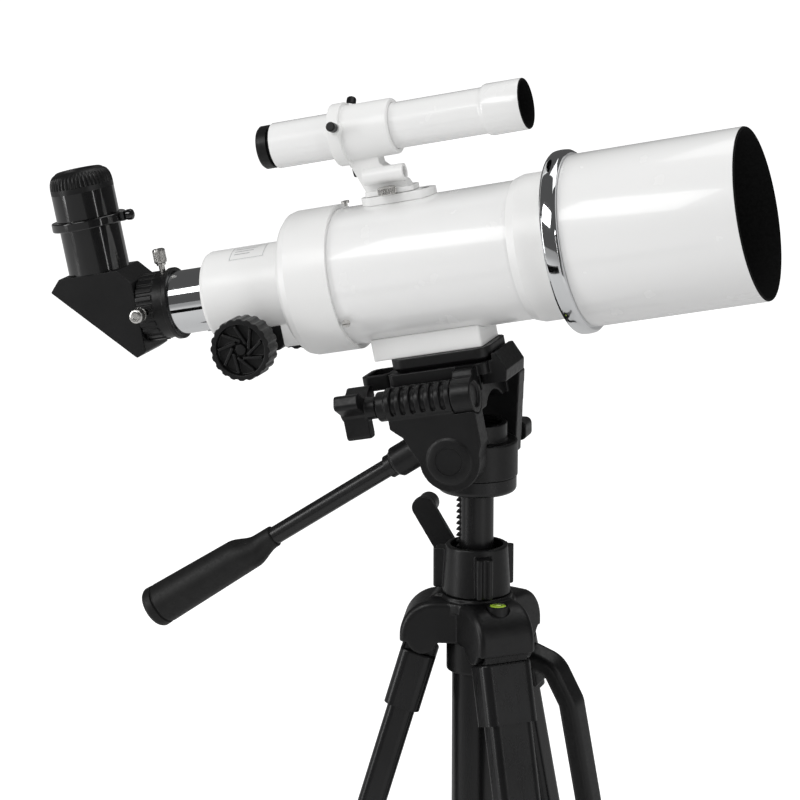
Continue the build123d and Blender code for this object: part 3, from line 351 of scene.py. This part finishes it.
def turn_piece(name, profile, place, bevel_mm=0.25, steps=160, closed=True, ribs=0):
    """Spin a profile round X, bevel its corners and place it.

    Each corner is (x, radius) in mm, or (x, radius, depth) where ribs are to be cut that deep.
    A solid part's profile starts and ends at AXIS_R, a hair off the axis.
    """
    builder = bmesh.new()
    rings = []
    for x, outer, *cut in profile:
        ring = []
        for k in range(steps):
            turn = 2 * math.pi * k / steps
            radius = outer
            if cut:
                wave = 0.5 + 0.5 * math.cos(ribs * turn)
                radius -= cut[0] * (1 - wave) ** 2
            spot = Vector((x, radius * math.cos(turn), radius * math.sin(turn))) * MM
            ring.append(builder.verts.new(spot))
        rings.append(ring)
    pairs = list(zip(rings, rings[1:]))
    if closed:
        pairs.append((rings[-1], rings[0]))
    for a, b in pairs:
        for k in range(steps):
            after = (k + 1) % steps
            builder.faces.new((a[k], a[after], b[after], b[k]))
    bmesh.ops.recalc_face_normals(builder, faces=builder.faces)
    piece = object_from(name, builder)
    piece.data.transform(place)
    if bevel_mm:
        bevel = piece.modifiers.new("edges", "BEVEL")
        bevel.width = bevel_mm * MM
        bevel.segments = 3
        bevel.limit_method = "ANGLE"
        bevel.angle_limit = math.radians(25)
        apply_modifiers(piece)
    smooth_faces(piece)
    return piece


# %% [markdown]
# The dew shield is a rolled steel tube, white outside and matt black inside, and the black
# wraps over its front edge. Two pieces do this cleanly: a white shell, and a thin black
# lining whose lip covers the rim.

# %% Dew shield and its lining
WALL = 1.5
LINING = 0.45
shell = turn_piece("dew_shield_shell", [
    (shield_rear, shield_r - WALL + LINING), (shield_rear, shield_r), (shield_front - 0.8, shield_r),
    (shield_front - 0.8, shield_r - WALL + LINING)], tube_frame, 0.2)
settle(shell, "platform", "white_enamel", "white_enamel", "dew_shield")
lining = turn_piece("dew_shield_lining", [
    (shield_rear + 9.5, shield_r - WALL), (shield_rear + 9.5, shield_r - WALL + LINING - 0.02),
    (shield_front - 0.78, shield_r - WALL + LINING - 0.02), (shield_front - 0.78, shield_r - 0.1),
    (shield_front, shield_r - 0.35), (shield_front, shield_r - WALL)], tube_frame, 0.15)
settle(lining, "platform", "white_enamel", "matt_lining")

# %% [markdown]
# The chrome ring is a spun cap between the shield and the cell. Its face is very slightly
# crowned, which is what pulls the studio's lights and darks into crisp bands.

# %% Chrome ring
crown_steps = 7
half = (ring_front - ring_rear) / 2 - 1.4
face = []
for k in range(crown_steps):
    reach = -1 + 2 * k / (crown_steps - 1)
    face.append(((ring_rear + ring_front) / 2 + reach * half, ring_r - 0.35 * reach ** 2))
ring = turn_piece("chrome_ring_cap", [
    (ring_rear, shield_r - WALL), (ring_rear, ring_r - 1.5)] + face + [
    (ring_front, ring_r - 1.5), (ring_front, shield_r - WALL)], tube_frame, 0.3)
settle(ring, "platform", "chrome", "chrome", "chrome_ring")

# %% [markdown]
# The main tube carries the enamel's best reflections, so it is turned again with many steps.
# The tube ends inside both cells, exactly where the CAD tube does.

# %% Main tube
tube_rear, tube_front = along_tube("main_tube")
tube_r = tube_radius("main_tube")
tube = turn_piece("main_tube_skin", [
    (tube_rear, tube_r - WALL), (tube_rear, tube_r), (tube_front, tube_r),
    (tube_front, tube_r - WALL)], tube_frame, 0.15, 192)
settle(tube, "platform", "white_enamel", "white_enamel", "main_tube")

# %% [markdown]
# The finder is a small telescope of its own, painted like the main tube and blackened inside
# its front bell. Its axis runs parallel to the main tube, above it.

# %% Finder tube and lining
finder_low, finder_high = along_tube("finder_tube")
inverse = tube_frame.inverted()
finder_spots = [inverse @ v.co for v in nodes["finder_tube"].data.vertices]
FINDER_Z = (max(p.z for p in finder_spots) + min(p.z for p in finder_spots)) / 2 / MM
finder_place = tube_frame @ Matrix.Translation((0, 0, FINDER_Z * MM))
bell_r = tube_radius("finder_tube", FINDER_Z)
body_r = 13.6
bell_from = finder_high - 26
finder = turn_piece("finder_tube_skin", [
    (finder_low, body_r - 1.2), (finder_low, body_r), (bell_from, body_r),
    (bell_from + 1.2, body_r + 0.35), (bell_from + 2.6, bell_r - 0.3), (bell_from + 3.8, bell_r),
    (finder_high - 0.5, bell_r - 0.1), (finder_high - 0.5, bell_r - 1.0),
    (bell_from + 8, bell_r - 1.4), (bell_from + 8, body_r - 0.65), (bell_from, body_r - 1.2)],
    finder_place, 0.2, 128)
settle(finder, "platform", "white_enamel", "white_enamel", "finder_tube")
finder_lining = turn_piece("finder_lining", [
    (bell_from + 8.2, bell_r - 1.45), (bell_from + 8.2, bell_r - 1.3), (finder_high - 0.48, bell_r - 0.98),
    (finder_high - 0.48, bell_r - 0.25), (finder_high, bell_r - 0.45), (finder_high, bell_r - 1.4)],
    finder_place, 0.1, 128)
settle(finder_lining, "platform", "white_enamel", "matt_lining")

# %% [markdown]
# ## Moulded parts
# A moulded part has no knife edges: every corner carries a small radius from the mould. A CAD
# solid has them sharp. Re-skinning a copy of the solid with small voxels and relaxing the
# skin rounds all the corners alike, then a decimate removes faces that flat areas don't need.


# %% A helper that softens a CAD part
def soften(node, voxel_mm, rounds, keep=0.3):
    """A copy of a CAD part, re-skinned at the voxel size and relaxed, so its edges turn soft."""
    source = nodes[node]
    piece = bpy.data.objects.new(node + "_moulded", source.data.copy())
    bpy.context.scene.collection.objects.link(piece)
    weld = piece.modifiers.new("weld", "WELD")
    weld.merge_threshold = 0.00001
    skin = piece.modifiers.new("skin", "REMESH")
    skin.mode = "VOXEL"
    skin.voxel_size = voxel_mm * MM
    relax = piece.modifiers.new("relax", "SMOOTH")
    relax.factor = 0.5
    relax.iterations = rounds
    thin = piece.modifiers.new("thin", "DECIMATE")
    thin.ratio = keep
    apply_modifiers(piece)
    smooth_faces(piece, 60)
    slot_name = record_slot(node)
    finish = "white_plastic" if node in MOULDED_WHITE else slot_name
    return settle(piece, source["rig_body"], slot_name, finish, node)


# %% [markdown]
# The head, the column's collar, the spider and the knobs are all satin black mouldings. The
# voxel is about half the corner radius that each real part has.

# %% Soften the mouldings
for node, voxel, rounds in (
        ("tilt_yoke", 0.5, 6), ("platform", 0.45, 5), ("quick_release_plate", 0.4, 4),
        ("pan_housing", 0.45, 4), ("spider", 0.6, 7), ("column_collar", 0.45, 5),
        ("crank_arm", 0.4, 5), ("crank_knob", 0.35, 3), ("side_tilt_knob", 0.4, 5),
        ("tilt_lock_knob", 0.45, 5), ("carry_handle", 0.6, 5), ("release_lever", 0.35, 4),
        ("focus_knobs", 0.32, 3), ("eyepiece_adapter", 0.3, 3), ("pinion_saddle", 0.4, 4),
        ("finder_bracket", 0.35, 5), ("finder_base", 0.35, 3), ("foot_block", 0.4, 4),
        ("diagonal_housing", 0.4, 2)):
    soften(node, voxel, rounds)
for k in (1, 2, 3):
    soften(f"foot_{k}", 0.4, 4)
    soften(f"lock_lever_{k}", 0.3, 3)

# %% [markdown]
# ## The pan handle
# The grip is one moulding that grows out of the rod in a long curve, with the swell starting
# later on its underside to make a stop for the fingers. It tapers outward to a separate end
# cap behind a narrow groove. It is turned like the tubes, but its start slides with angle.

# %% Grip
twist = next(j for j in frame["joints"] if j["name"] == "handle_twist")
grip_dir = Vector(twist["axis"]).normalized()
grip_side = Vector((0, 1, 0))
grip_up = grip_dir.cross(grip_side)
grip_turn = Matrix((grip_dir, grip_side, grip_up)).transposed().to_4x4()
grip_place = Matrix.Translation(Vector(twist["pos_m"])) @ grip_turn
reach = [(grip_place.inverted() @ v.co).x / MM for v in nodes["handle_grip"].data.vertices]
grip_from, grip_to = min(reach), max(reach)
print("grip", round(grip_from, 1), "to", round(grip_to, 1), "mm along the handle")


def grip_radius(x, underside):
    """Radius along the grip; underside runs from 0 on top to 1 below."""
    neck = 6.6
    start = grip_from + 2 + 10 * underside
    swell = min(max((x - start) / 17, 0), 1)
    blend = swell * swell * (3 - 2 * swell)
    taper = 10.6 + 2.3 * (x - grip_from) / (grip_to - grip_from)
    return neck + (taper - neck) * blend


def build_grip():
    builder = bmesh.new()
    steps = 96
    stations = [grip_from + k * (grip_to - 8.6 - grip_from) / 60 for k in range(61)]
    rings = []
    for x in stations:
        ring = []
        for k in range(steps):
            turn = 2 * math.pi * k / steps
            below = 0.5 - 0.5 * math.sin(turn)
            radius = grip_radius(x, below)
            ring.append(builder.verts.new(Vector((x, radius * math.cos(turn), radius * math.sin(turn))) * MM))
        rings.append(ring)
    for a, b in zip(rings, rings[1:]):
        for k in range(steps):
            after = (k + 1) % steps
            builder.faces.new((a[k], a[after], b[after], b[k]))
    for ring in (rings[0], rings[-1]):
        builder.faces.new(ring)
    bmesh.ops.recalc_face_normals(builder, faces=builder.faces)
    piece = object_from("handle_grip_moulding", builder)
    piece.data.transform(grip_place)
    bevel = piece.modifiers.new("edges", "BEVEL")
    bevel.width = 0.8 * MM
    bevel.segments = 4
    bevel.angle_limit = math.radians(40)
    apply_modifiers(piece)
    smooth_faces(piece, 50)
    return piece


settle(build_grip(), "handle", "black_rubber", "black_rubber", "handle_grip")
cap_r = grip_radius(grip_to, 0.5)
cap = turn_piece("handle_grip_cap", [
    (grip_to - 8.7, AXIS_R), (grip_to - 8.7, cap_r - 1.4), (grip_to - 7.4, cap_r - 1.4),
    (grip_to - 7.4, cap_r - 0.2), (grip_to - 3.0, cap_r), (grip_to - 1.1, cap_r - 1.2),
    (grip_to, cap_r - 3.6), (grip_to, AXIS_R)], grip_place, 0.5, 96)
settle(cap, "handle", "black_rubber", "black_rubber")

# %% [markdown]
# ## The focuser's label
# A small foil label sits on the focuser's shoulder. It is left without any wording: a thin
# curved plate with a printed frame line and three short grey rules.

# %% Label
knob_turn = next(j for j in frame["joints"] if j["name"] == "focus_turn")
knob_at = inverse @ Vector(knob_turn["pos_m"])
LABEL_R = 27.5
LABEL_FROM = knob_at.x / MM - 12
LABEL_TO = knob_at.x / MM + 11


def curved_strip(builder, x0, x1, turn0, turn1, radius, thick):
    """A closed plate that follows the housing's curve, turn in degrees from the top to the hand side."""
    count = 14
    layers = []
    for r in (radius, radius + thick):
        rows = []
        for k in range(count + 1):
            turn = math.radians(turn0 + (turn1 - turn0) * k / count)
            y, z = -r * math.sin(turn), r * math.cos(turn)
            rows.append([builder.verts.new(Vector((x, y, z)) * MM) for x in (x0, x1)])
        layers.append(rows)
    low, high = layers
    for k in range(count):
        builder.faces.new((high[k][0], high[k][1], high[k + 1][1], high[k + 1][0]))
        builder.faces.new((low[k][0], low[k + 1][0], low[k + 1][1], low[k][1]))
        builder.faces.new((low[k][0], high[k][0], high[k + 1][0], low[k + 1][0]))
        builder.faces.new((low[k][1], low[k + 1][1], high[k + 1][1], high[k][1]))
    builder.faces.new((low[0][0], low[0][1], high[0][1], high[0][0]))
    builder.faces.new((low[-1][0], high[-1][0], high[-1][1], low[-1][1]))


plate = bmesh.new()
curved_strip(plate, LABEL_FROM, LABEL_TO, 6, 37, LABEL_R + 0.01, 0.08)
bmesh.ops.recalc_face_normals(plate, faces=plate.faces)
label = object_from("focuser_label", plate)
label.data.transform(tube_frame)
smooth_faces(label)
settle(label, "platform", "white_enamel", "white_enamel")

material, shader = new_finish("label_ink", (0.30, 0.30, 0.31), 0.55)
tint(material, shader, noise(material, 3000), (0.25, 0.25, 0.26), (0.36, 0.36, 0.37))
finishes["label_ink"] = material
ink = bmesh.new()
LINE = 0.28
frame_lines = [
    (LABEL_FROM + 0.6, LABEL_TO - 0.6, 7.5, 8.1), (LABEL_FROM + 0.6, LABEL_TO - 0.6, 35.0, 35.6),
    (LABEL_FROM + 0.6, LABEL_FROM + 0.6 + LINE, 8.1, 35.0),
    (LABEL_TO - 0.6 - LINE, LABEL_TO - 0.6, 8.1, 35.0)]
rules = [(LABEL_FROM + 3, LABEL_TO - 6 - 2 * k, 13 + 6 * k, 14.3 + 6 * k) for k in range(3)]
for x0, x1, turn0, turn1 in frame_lines + rules:
    curved_strip(ink, x0, x1, turn0, turn1, LABEL_R + 0.09, 0.02)
bmesh.ops.recalc_face_normals(ink, faces=ink.faces)
printed = object_from("focuser_label_print", ink)
printed.data.transform(tube_frame)
settle(printed, "platform", "white_enamel", "label_ink")

# %% [markdown]
# ## Small turned parts
# Screws and caps turn on their joints' own axes, so each is built along the axis that the
# joint states, between the ends that its CAD part has along that axis.


# %% Helpers for parts that turn on a joint
def joint_named(name):
    return next(j for j in frame["joints"] if j["name"] == name)


def place_on(name, origin=None):
    """A frame whose X runs along a joint's axis."""
    joint = joint_named(name)
    along = Vector(joint["axis"]).normalized()
    across = along.orthogonal().normalized()
    turned = Matrix((along, across, along.cross(across))).transposed().to_4x4()
    return Matrix.Translation(origin or Vector(joint["pos_m"])) @ turned


def span(node, place):
    """The lowest and highest distance along the frame's X, and the largest radius, in mm."""
    spots = [place.inverted() @ v.co for v in nodes[node].data.vertices]
    xs = [p.x for p in spots]
    return min(xs) / MM, max(xs) / MM, max(math.hypot(p.y, p.z) for p in spots) / MM


def head_forward(node, place):
    """The same frame, turned end for end if the part's widest end lies at its low end."""
    low, high, _ = span(node, place)
    spots = [place.inverted() @ v.co for v in nodes[node].data.vertices]
    widest = max(spots, key=lambda p: math.hypot(p.y, p.z)).x / MM
    if widest > (low + high) / 2:
        return place
    return place @ Matrix.Rotation(math.pi, 4, "Y")


# %% [markdown]
# The two screws that hold the diagonal are nickel-plated: a knurled drum with rounded rims on a
# narrow stem with a shoulder under the drum. A knurl is only a ripple in the drum's radius, so
# the same turning helper makes it when two of the profile's corners are marked as cut.

# %% Adapter thumbscrews
DRUM_LENGTH = 9.0
KNURLS = 26
KNURL_DEPTH = 0.42
STEPS_PER_KNURL = 8
for node, joint_name, body in (
        ("adapter_thumbscrew_top", "thumb_top_turn", "thumb_top"),
        ("adapter_thumbscrew_side", "thumb_side_turn", "thumb_side")):
    place = head_forward(node, place_on(joint_name))
    low, high, head_r = span(node, place)
    head = high - DRUM_LENGTH
    stem = [(low, AXIS_R), (low, 1.5), (low + 0.4, 1.8), (head - 1.2, 1.8), (head - 1.2, 2.8), (head, 2.8)]
    lower_rim = [(head, head_r - 0.9), (head + 0.5, head_r - 0.25), (head + 1.4, head_r, 0.0)]
    drum = [(head + 1.5, head_r, KNURL_DEPTH), (high - 1.5, head_r, KNURL_DEPTH)]
    upper_rim = [(high - 1.4, head_r, 0.0), (high - 0.5, head_r - 0.3), (high, head_r - 1.2)]
    dimple = [(high, 2.0), (high - 0.5, 1.5), (high - 0.5, AXIS_R)]
    screw = turn_piece(
        node + "_knurled", stem + lower_rim + drum + upper_rim + dimple, place, 0,
        KNURLS * STEPS_PER_KNURL, ribs=KNURLS)
    settle(screw, body, "steel", "steel", node)

# %% [markdown]
# The eyepiece's screw is a plain black button, small enough to pinch, with a rounded crown.
# The finder's clamp screw is a small knurled disc that stands beside the finder's foot.

# %% Holder screw and finder clamp screw
BUTTON_LENGTH = 4.5
DISC_KNURLS = 30
DISC_KNURL_DEPTH = 0.5
place = head_forward("holder_thumbscrew", place_on("thumb_holder_turn"))
low, high, head_r = span("holder_thumbscrew", place)
under = high - BUTTON_LENGTH
button = turn_piece("holder_thumbscrew_button", [
    (low, AXIS_R), (low, 1.4), (low + 0.3, 1.6), (under, 1.6), (under, 2.6), (under + 0.5, head_r - 0.1),
    (high - 1.6, head_r), (high - 0.7, head_r - 0.45), (high - 0.2, head_r - 1.3), (high, head_r - 2.4),
    (high, AXIS_R)], place, 0, 64)
settle(button, "thumb_holder", record_slot("holder_thumbscrew"), "gloss_black", "holder_thumbscrew")

place = place_on("finder_clamp_turn")
low, high, head_r = span("finder_clamp_screw", place)
base = [(low, AXIS_R), (low, head_r - 0.6), (low + 0.5, head_r, 0.0)]
rim = [(low + 0.6, head_r, DISC_KNURL_DEPTH), (high - 0.8, head_r, DISC_KNURL_DEPTH)]
rim.append((high - 0.7, head_r, 0.0))
face = [(high - 0.2, head_r - 0.5), (high, head_r - 1.1), (high, 2.4)]
dimple = [(high - 0.5, 2.0), (high - 0.5, AXIS_R)]
clamp = turn_piece(
    "finder_clamp_knurled", base + rim + face + dimple, place, 0, DISC_KNURLS * STEPS_PER_KNURL,
    ribs=DISC_KNURLS)
settle(clamp, "finder_clamp", record_slot("finder_clamp_screw"), "steel", "finder_clamp_screw")

# %% [markdown]
# The eyepiece's rubber cap narrows in a soft dome, ribbed all the way round for cold fingers.
# The dome is a quarter of an ellipse, and the ribs fade out where it meets the flat top.

# %% Eyepiece cap
lens_spots = [v.co for v in nodes["eyepiece_lens"].data.vertices]
middle_of_eye = sum(lens_spots, Vector()) / len(lens_spots)
place = place_on("eyepiece_slide", middle_of_eye)
low, high, cap_r = span("eyepiece_crown", place)
RIBS = 46
RIB_DEPTH = 0.75
STEPS_PER_RIB = 6
DOME_DROP = 5.2
DOME_STEPS = 12
tall = high - low
dome = [(low, cap_r), (low + 0.20 * tall, cap_r), (low + 0.24 * tall, cap_r, 0.0)]
for k in range(DOME_STEPS + 1):
    rise = k / DOME_STEPS
    edge = cap_r - DOME_DROP * (1 - math.sqrt(1 - rise ** 2 * 0.97))
    fade = min(1, 5 * (1 - rise)) * RIB_DEPTH
    dome.append((low + (0.26 + 0.66 * rise) * tall, edge, fade))
crown_cap = turn_piece("eyepiece_cap_ribbed", [
    (low, 9.2)] + dome + [
    (low + 0.965 * tall, cap_r - 5.0), (high, cap_r - 6.0), (high, 11.6), (high - 1.4, 10.0),
    (high - 3.0, 9.2)], place, 0, RIBS * STEPS_PER_RIB, ribs=RIBS)
settle(crown_cap, "eyepiece", "black_rubber", "black_plastic", "eyepiece_crown")

# %% [markdown]
# The level is a clear vial in a black bezel, with one fine ring that shows where the bubble
# should float. The bubble sits a little to one side, as on a tripod that isn't quite level.

# %% Bubble level
LEVEL_STEPS = 72
level_spots = [v.co for v in nodes["bubble_level"].data.vertices]
level_top = max(p.z for p in level_spots)
level_low = min(p.z for p in level_spots)
level_middle = sum(level_spots, Vector()) / len(level_spots)
level_r = max(math.hypot(p.x - level_middle.x, p.y - level_middle.y) for p in level_spots) / MM
place = Matrix.Translation((level_middle.x, level_middle.y, level_low))
place = place @ Matrix.Rotation(-math.pi / 2, 4, "Y")
tall = (level_top - level_low) / MM
bezel = turn_piece("level_bezel", [
    (0, AXIS_R), (0, level_r), (tall - 0.4, level_r), (tall, level_r - 0.5), (tall, level_r - 1.2),
    (tall - 0.9, level_r - 1.5), (tall - 0.9, AXIS_R)], place, 0, LEVEL_STEPS)
settle(bezel, "tripod", "level_fluid", "black_plastic", "bubble_level")
fluid = turn_piece("level_vial", [
    (tall - 0.88, AXIS_R), (tall - 0.88, level_r - 1.55), (tall - 0.45, level_r - 1.7),
    (tall - 0.15, level_r - 2.6), (tall - 0.05, AXIS_R)], place, 0, LEVEL_STEPS)
settle(fluid, "tripod", "level_fluid", "level_fluid")
bubble = turn_piece("level_bubble", [
    (tall - 0.1, AXIS_R), (tall - 0.1, 1.5), (tall - 0.02, 1.35), (tall - 0.02, AXIS_R)],
    place @ Matrix.Translation((0, 0.5 * MM, -0.4 * MM)), 0, 48)
settle(bubble, "tripod", "level_fluid", "bubble_light")
ring_mark = turn_piece("level_ring_mark", [
    (tall - 0.12, 2.3), (tall - 0.12, 2.6), (tall - 0.06, 2.6), (tall - 0.06, 2.3)], place, 0,
    LEVEL_STEPS)
settle(ring_mark, "tripod", "level_fluid", "matt_lining")

# %% [markdown]
# The near cheek of the yoke has a pivot cap with fine rings turned into its face. It is found
# as the part of the yoke that stands out furthest, close round the tilt axis.

# %% Pivot cap rings
PIVOT_CAP_R = 13.5
tilt_at = Vector(joint_named("tilt_turn")["pos_m"])
cap_spots = [v.co for v in nodes["tilt_yoke"].data.vertices
             if math.hypot(v.co.x - tilt_at.x, v.co.z - tilt_at.z) < PIVOT_CAP_R * MM]
near_face = min(p.y for p in cap_spots)
cap_place = Matrix.Translation((tilt_at.x, near_face, tilt_at.z)) @ Matrix.Rotation(-math.pi / 2, 4, "Z")
rings_cap = turn_piece("pivot_cap_rings", [
    (-0.5, AXIS_R), (0.25, AXIS_R), (0.25, 7.6), (0.02, 7.8), (0.02, 8.3), (0.3, 8.5), (0.3, 12.7),
    (0.0, 13.2), (-0.5, 13.2)], cap_place, 0, 128)
settle(rings_cap, "tilt", "black_plastic", "black_plastic")

# %% [markdown]
# ## Studio
# The floor is a wide pale sheet. A backdrop has to look pure white, but a sheet bright enough for
# that would also light the tubes from below and flatten them. So the sheet itself is mid grey,
# and a glow that only the camera sees lifts it to white.

# %% Floor
FLOOR_GLOW = 0.75
builder = bmesh.new()
bmesh.ops.create_grid(builder, x_segments=4, y_segments=4, size=40)
floor = object_from("studio_floor", builder)
material, shader = new_finish("studio_paper", (0.64, 0.64, 0.64), 0.9, level=0.1)
tint(material, shader, noise(material, 2), (0.635, 0.635, 0.635), (0.65, 0.65, 0.65))
glow = material.node_tree.nodes.new("ShaderNodeLightPath")
lift = material.node_tree.nodes.new("ShaderNodeMapRange")
lift.inputs["To Max"].default_value = FLOOR_GLOW
material.node_tree.links.new(glow.outputs["Is Camera Ray"], lift.inputs["Value"])
material.node_tree.links.new(lift.outputs["Result"], shader.inputs["Emission Strength"])
shader.inputs["Emission Color"].default_value = (1, 1, 1, 1)
floor.data.materials.append(material)
print("floor glow seen by the camera:", FLOOR_GLOW)

# %% [markdown]
# The world does three jobs at three strengths. To the camera it is white. To dull surfaces it is
# a soft fill that opens every shadow. In mirror-like surfaces it is nearly black, as in a studio
# whose walls are far off and dark, so that only the soft boxes draw bright bands.

# %% World
world = bpy.data.worlds.new("studio")
bpy.context.scene.world = world
world.use_nodes = True
tree = world.node_tree
background = tree.nodes["Background"]
path = tree.nodes.new("ShaderNodeLightPath")
level = tree.nodes.new("ShaderNodeMapRange")
WORLD_SEEN = 1.06
WORLD_FILL = 0.56
WORLD_MIRRORED = 0.09
level.inputs["To Min"].default_value = WORLD_FILL
level.inputs["To Max"].default_value = WORLD_MIRRORED
tree.links.new(path.outputs["Is Glossy Ray"], level.inputs["Value"])
backdrop = tree.nodes.new("ShaderNodeMapRange")
tree.links.new(path.outputs["Is Camera Ray"], backdrop.inputs["Value"])
tree.links.new(level.outputs["Result"], backdrop.inputs["To Min"])
backdrop.inputs["To Max"].default_value = WORLD_SEEN
tree.links.new(backdrop.outputs["Result"], background.inputs["Strength"])
background.inputs["Color"].default_value = (1, 1, 1, 1)
print("world seen", WORLD_SEEN, "fill", WORLD_FILL, "mirrored", WORLD_MIRRORED)

# %% [markdown]
# Four soft boxes aim at the telescope. The large ones, high on the left and overhead, model the
# tubes; the tall narrow ones, low on either side, draw the long highlights on the black parts.

# %% Soft boxes
middle = Vector((0, 0, AXIS_HEIGHT - 0.1))


def soft_box(name, place, width, height, watts):
    light = bpy.data.lights.new(name, "AREA")
    light.shape = "RECTANGLE"
    light.size = width
    light.size_y = height
    light.energy = watts
    lamp = bpy.data.objects.new(name, light)
    lamp.location = place
    lamp.rotation_euler = (middle - Vector(place)).to_track_quat("-Z", "Y").to_euler()
    lamp.visible_camera = False
    bpy.context.scene.collection.objects.link(lamp)


soft_box("key_box", (-1.1, -1.9, 2.3), 1.5, 1.0, 19)
soft_box("top_box", (0.3, 0.6, 2.6), 2.0, 1.4, 13)
soft_box("left_strip", (-2.0, -1.3, 0.9), 0.5, 1.6, 15)
soft_box("right_strip", (1.9, -1.1, 0.9), 0.35, 1.5, 9)
print("soft boxes:", len(bpy.data.lights))

# %% [markdown]
# Two black cards stand just out of frame. Only mirror-like parts see them, and they draw the
# dark bands that make chrome look like chrome.

# %% Black cards
material, shader = new_finish("card_black", (0.004, 0.004, 0.004), 0.9, level=0.05)
tint(material, shader, noise(material, 50), (0.003, 0.003, 0.003), (0.005, 0.005, 0.005))
for name, place, width, height in (
        ("card_low", (-0.5, -1.0, 0.12), 1.5, 0.22), ("card_front", (1.3, -0.7, 0.75), 0.3, 1.0)):
    builder = bmesh.new()
    bmesh.ops.create_grid(builder, x_segments=1, y_segments=1, size=0.5)
    card = object_from(name, builder)
    card.data.materials.append(material)
    card.scale = (width, height, 1)
    card.location = place
    card.rotation_euler = (middle - Vector(place)).to_track_quat("Z", "Y").to_euler()
    card.visible_camera = False
    card.visible_diffuse = False
    card.visible_shadow = False
    card.visible_transmission = False
    print(name, "measures", width, "by", height, "m")

# %% [markdown]
# ## Camera
# A long lens from a little above and to the front right, level with the horizon apart from
# its downward tilt, keeps the tubes' perspective gentle.

# %% Camera
TURN = math.radians(17.97)
DOWN = math.radians(13.0)
LENS = 148.5
camera_data = bpy.data.cameras.new("camera")
camera_data.lens = LENS
camera_data.sensor_width = 36
camera_data.clip_end = 200
camera = bpy.data.objects.new("camera", camera_data)
right = Vector((math.cos(TURN), math.sin(TURN), 0))
back = Vector((math.sin(TURN) * math.cos(DOWN), -math.cos(TURN) * math.cos(DOWN), math.sin(DOWN)))
above = back.cross(right)
place = Vector((0.5440, -1.8262, AXIS_HEIGHT + 0.3535))
camera.matrix_world = Matrix.Translation(place) @ Matrix((right, above, back)).transposed().to_4x4()
bpy.context.scene.collection.objects.link(camera)
bpy.context.scene.camera = camera
bpy.context.scene.view_settings.view_transform = "Standard"
print("camera stands", round(place.length, 2), "m from the floor under the column")
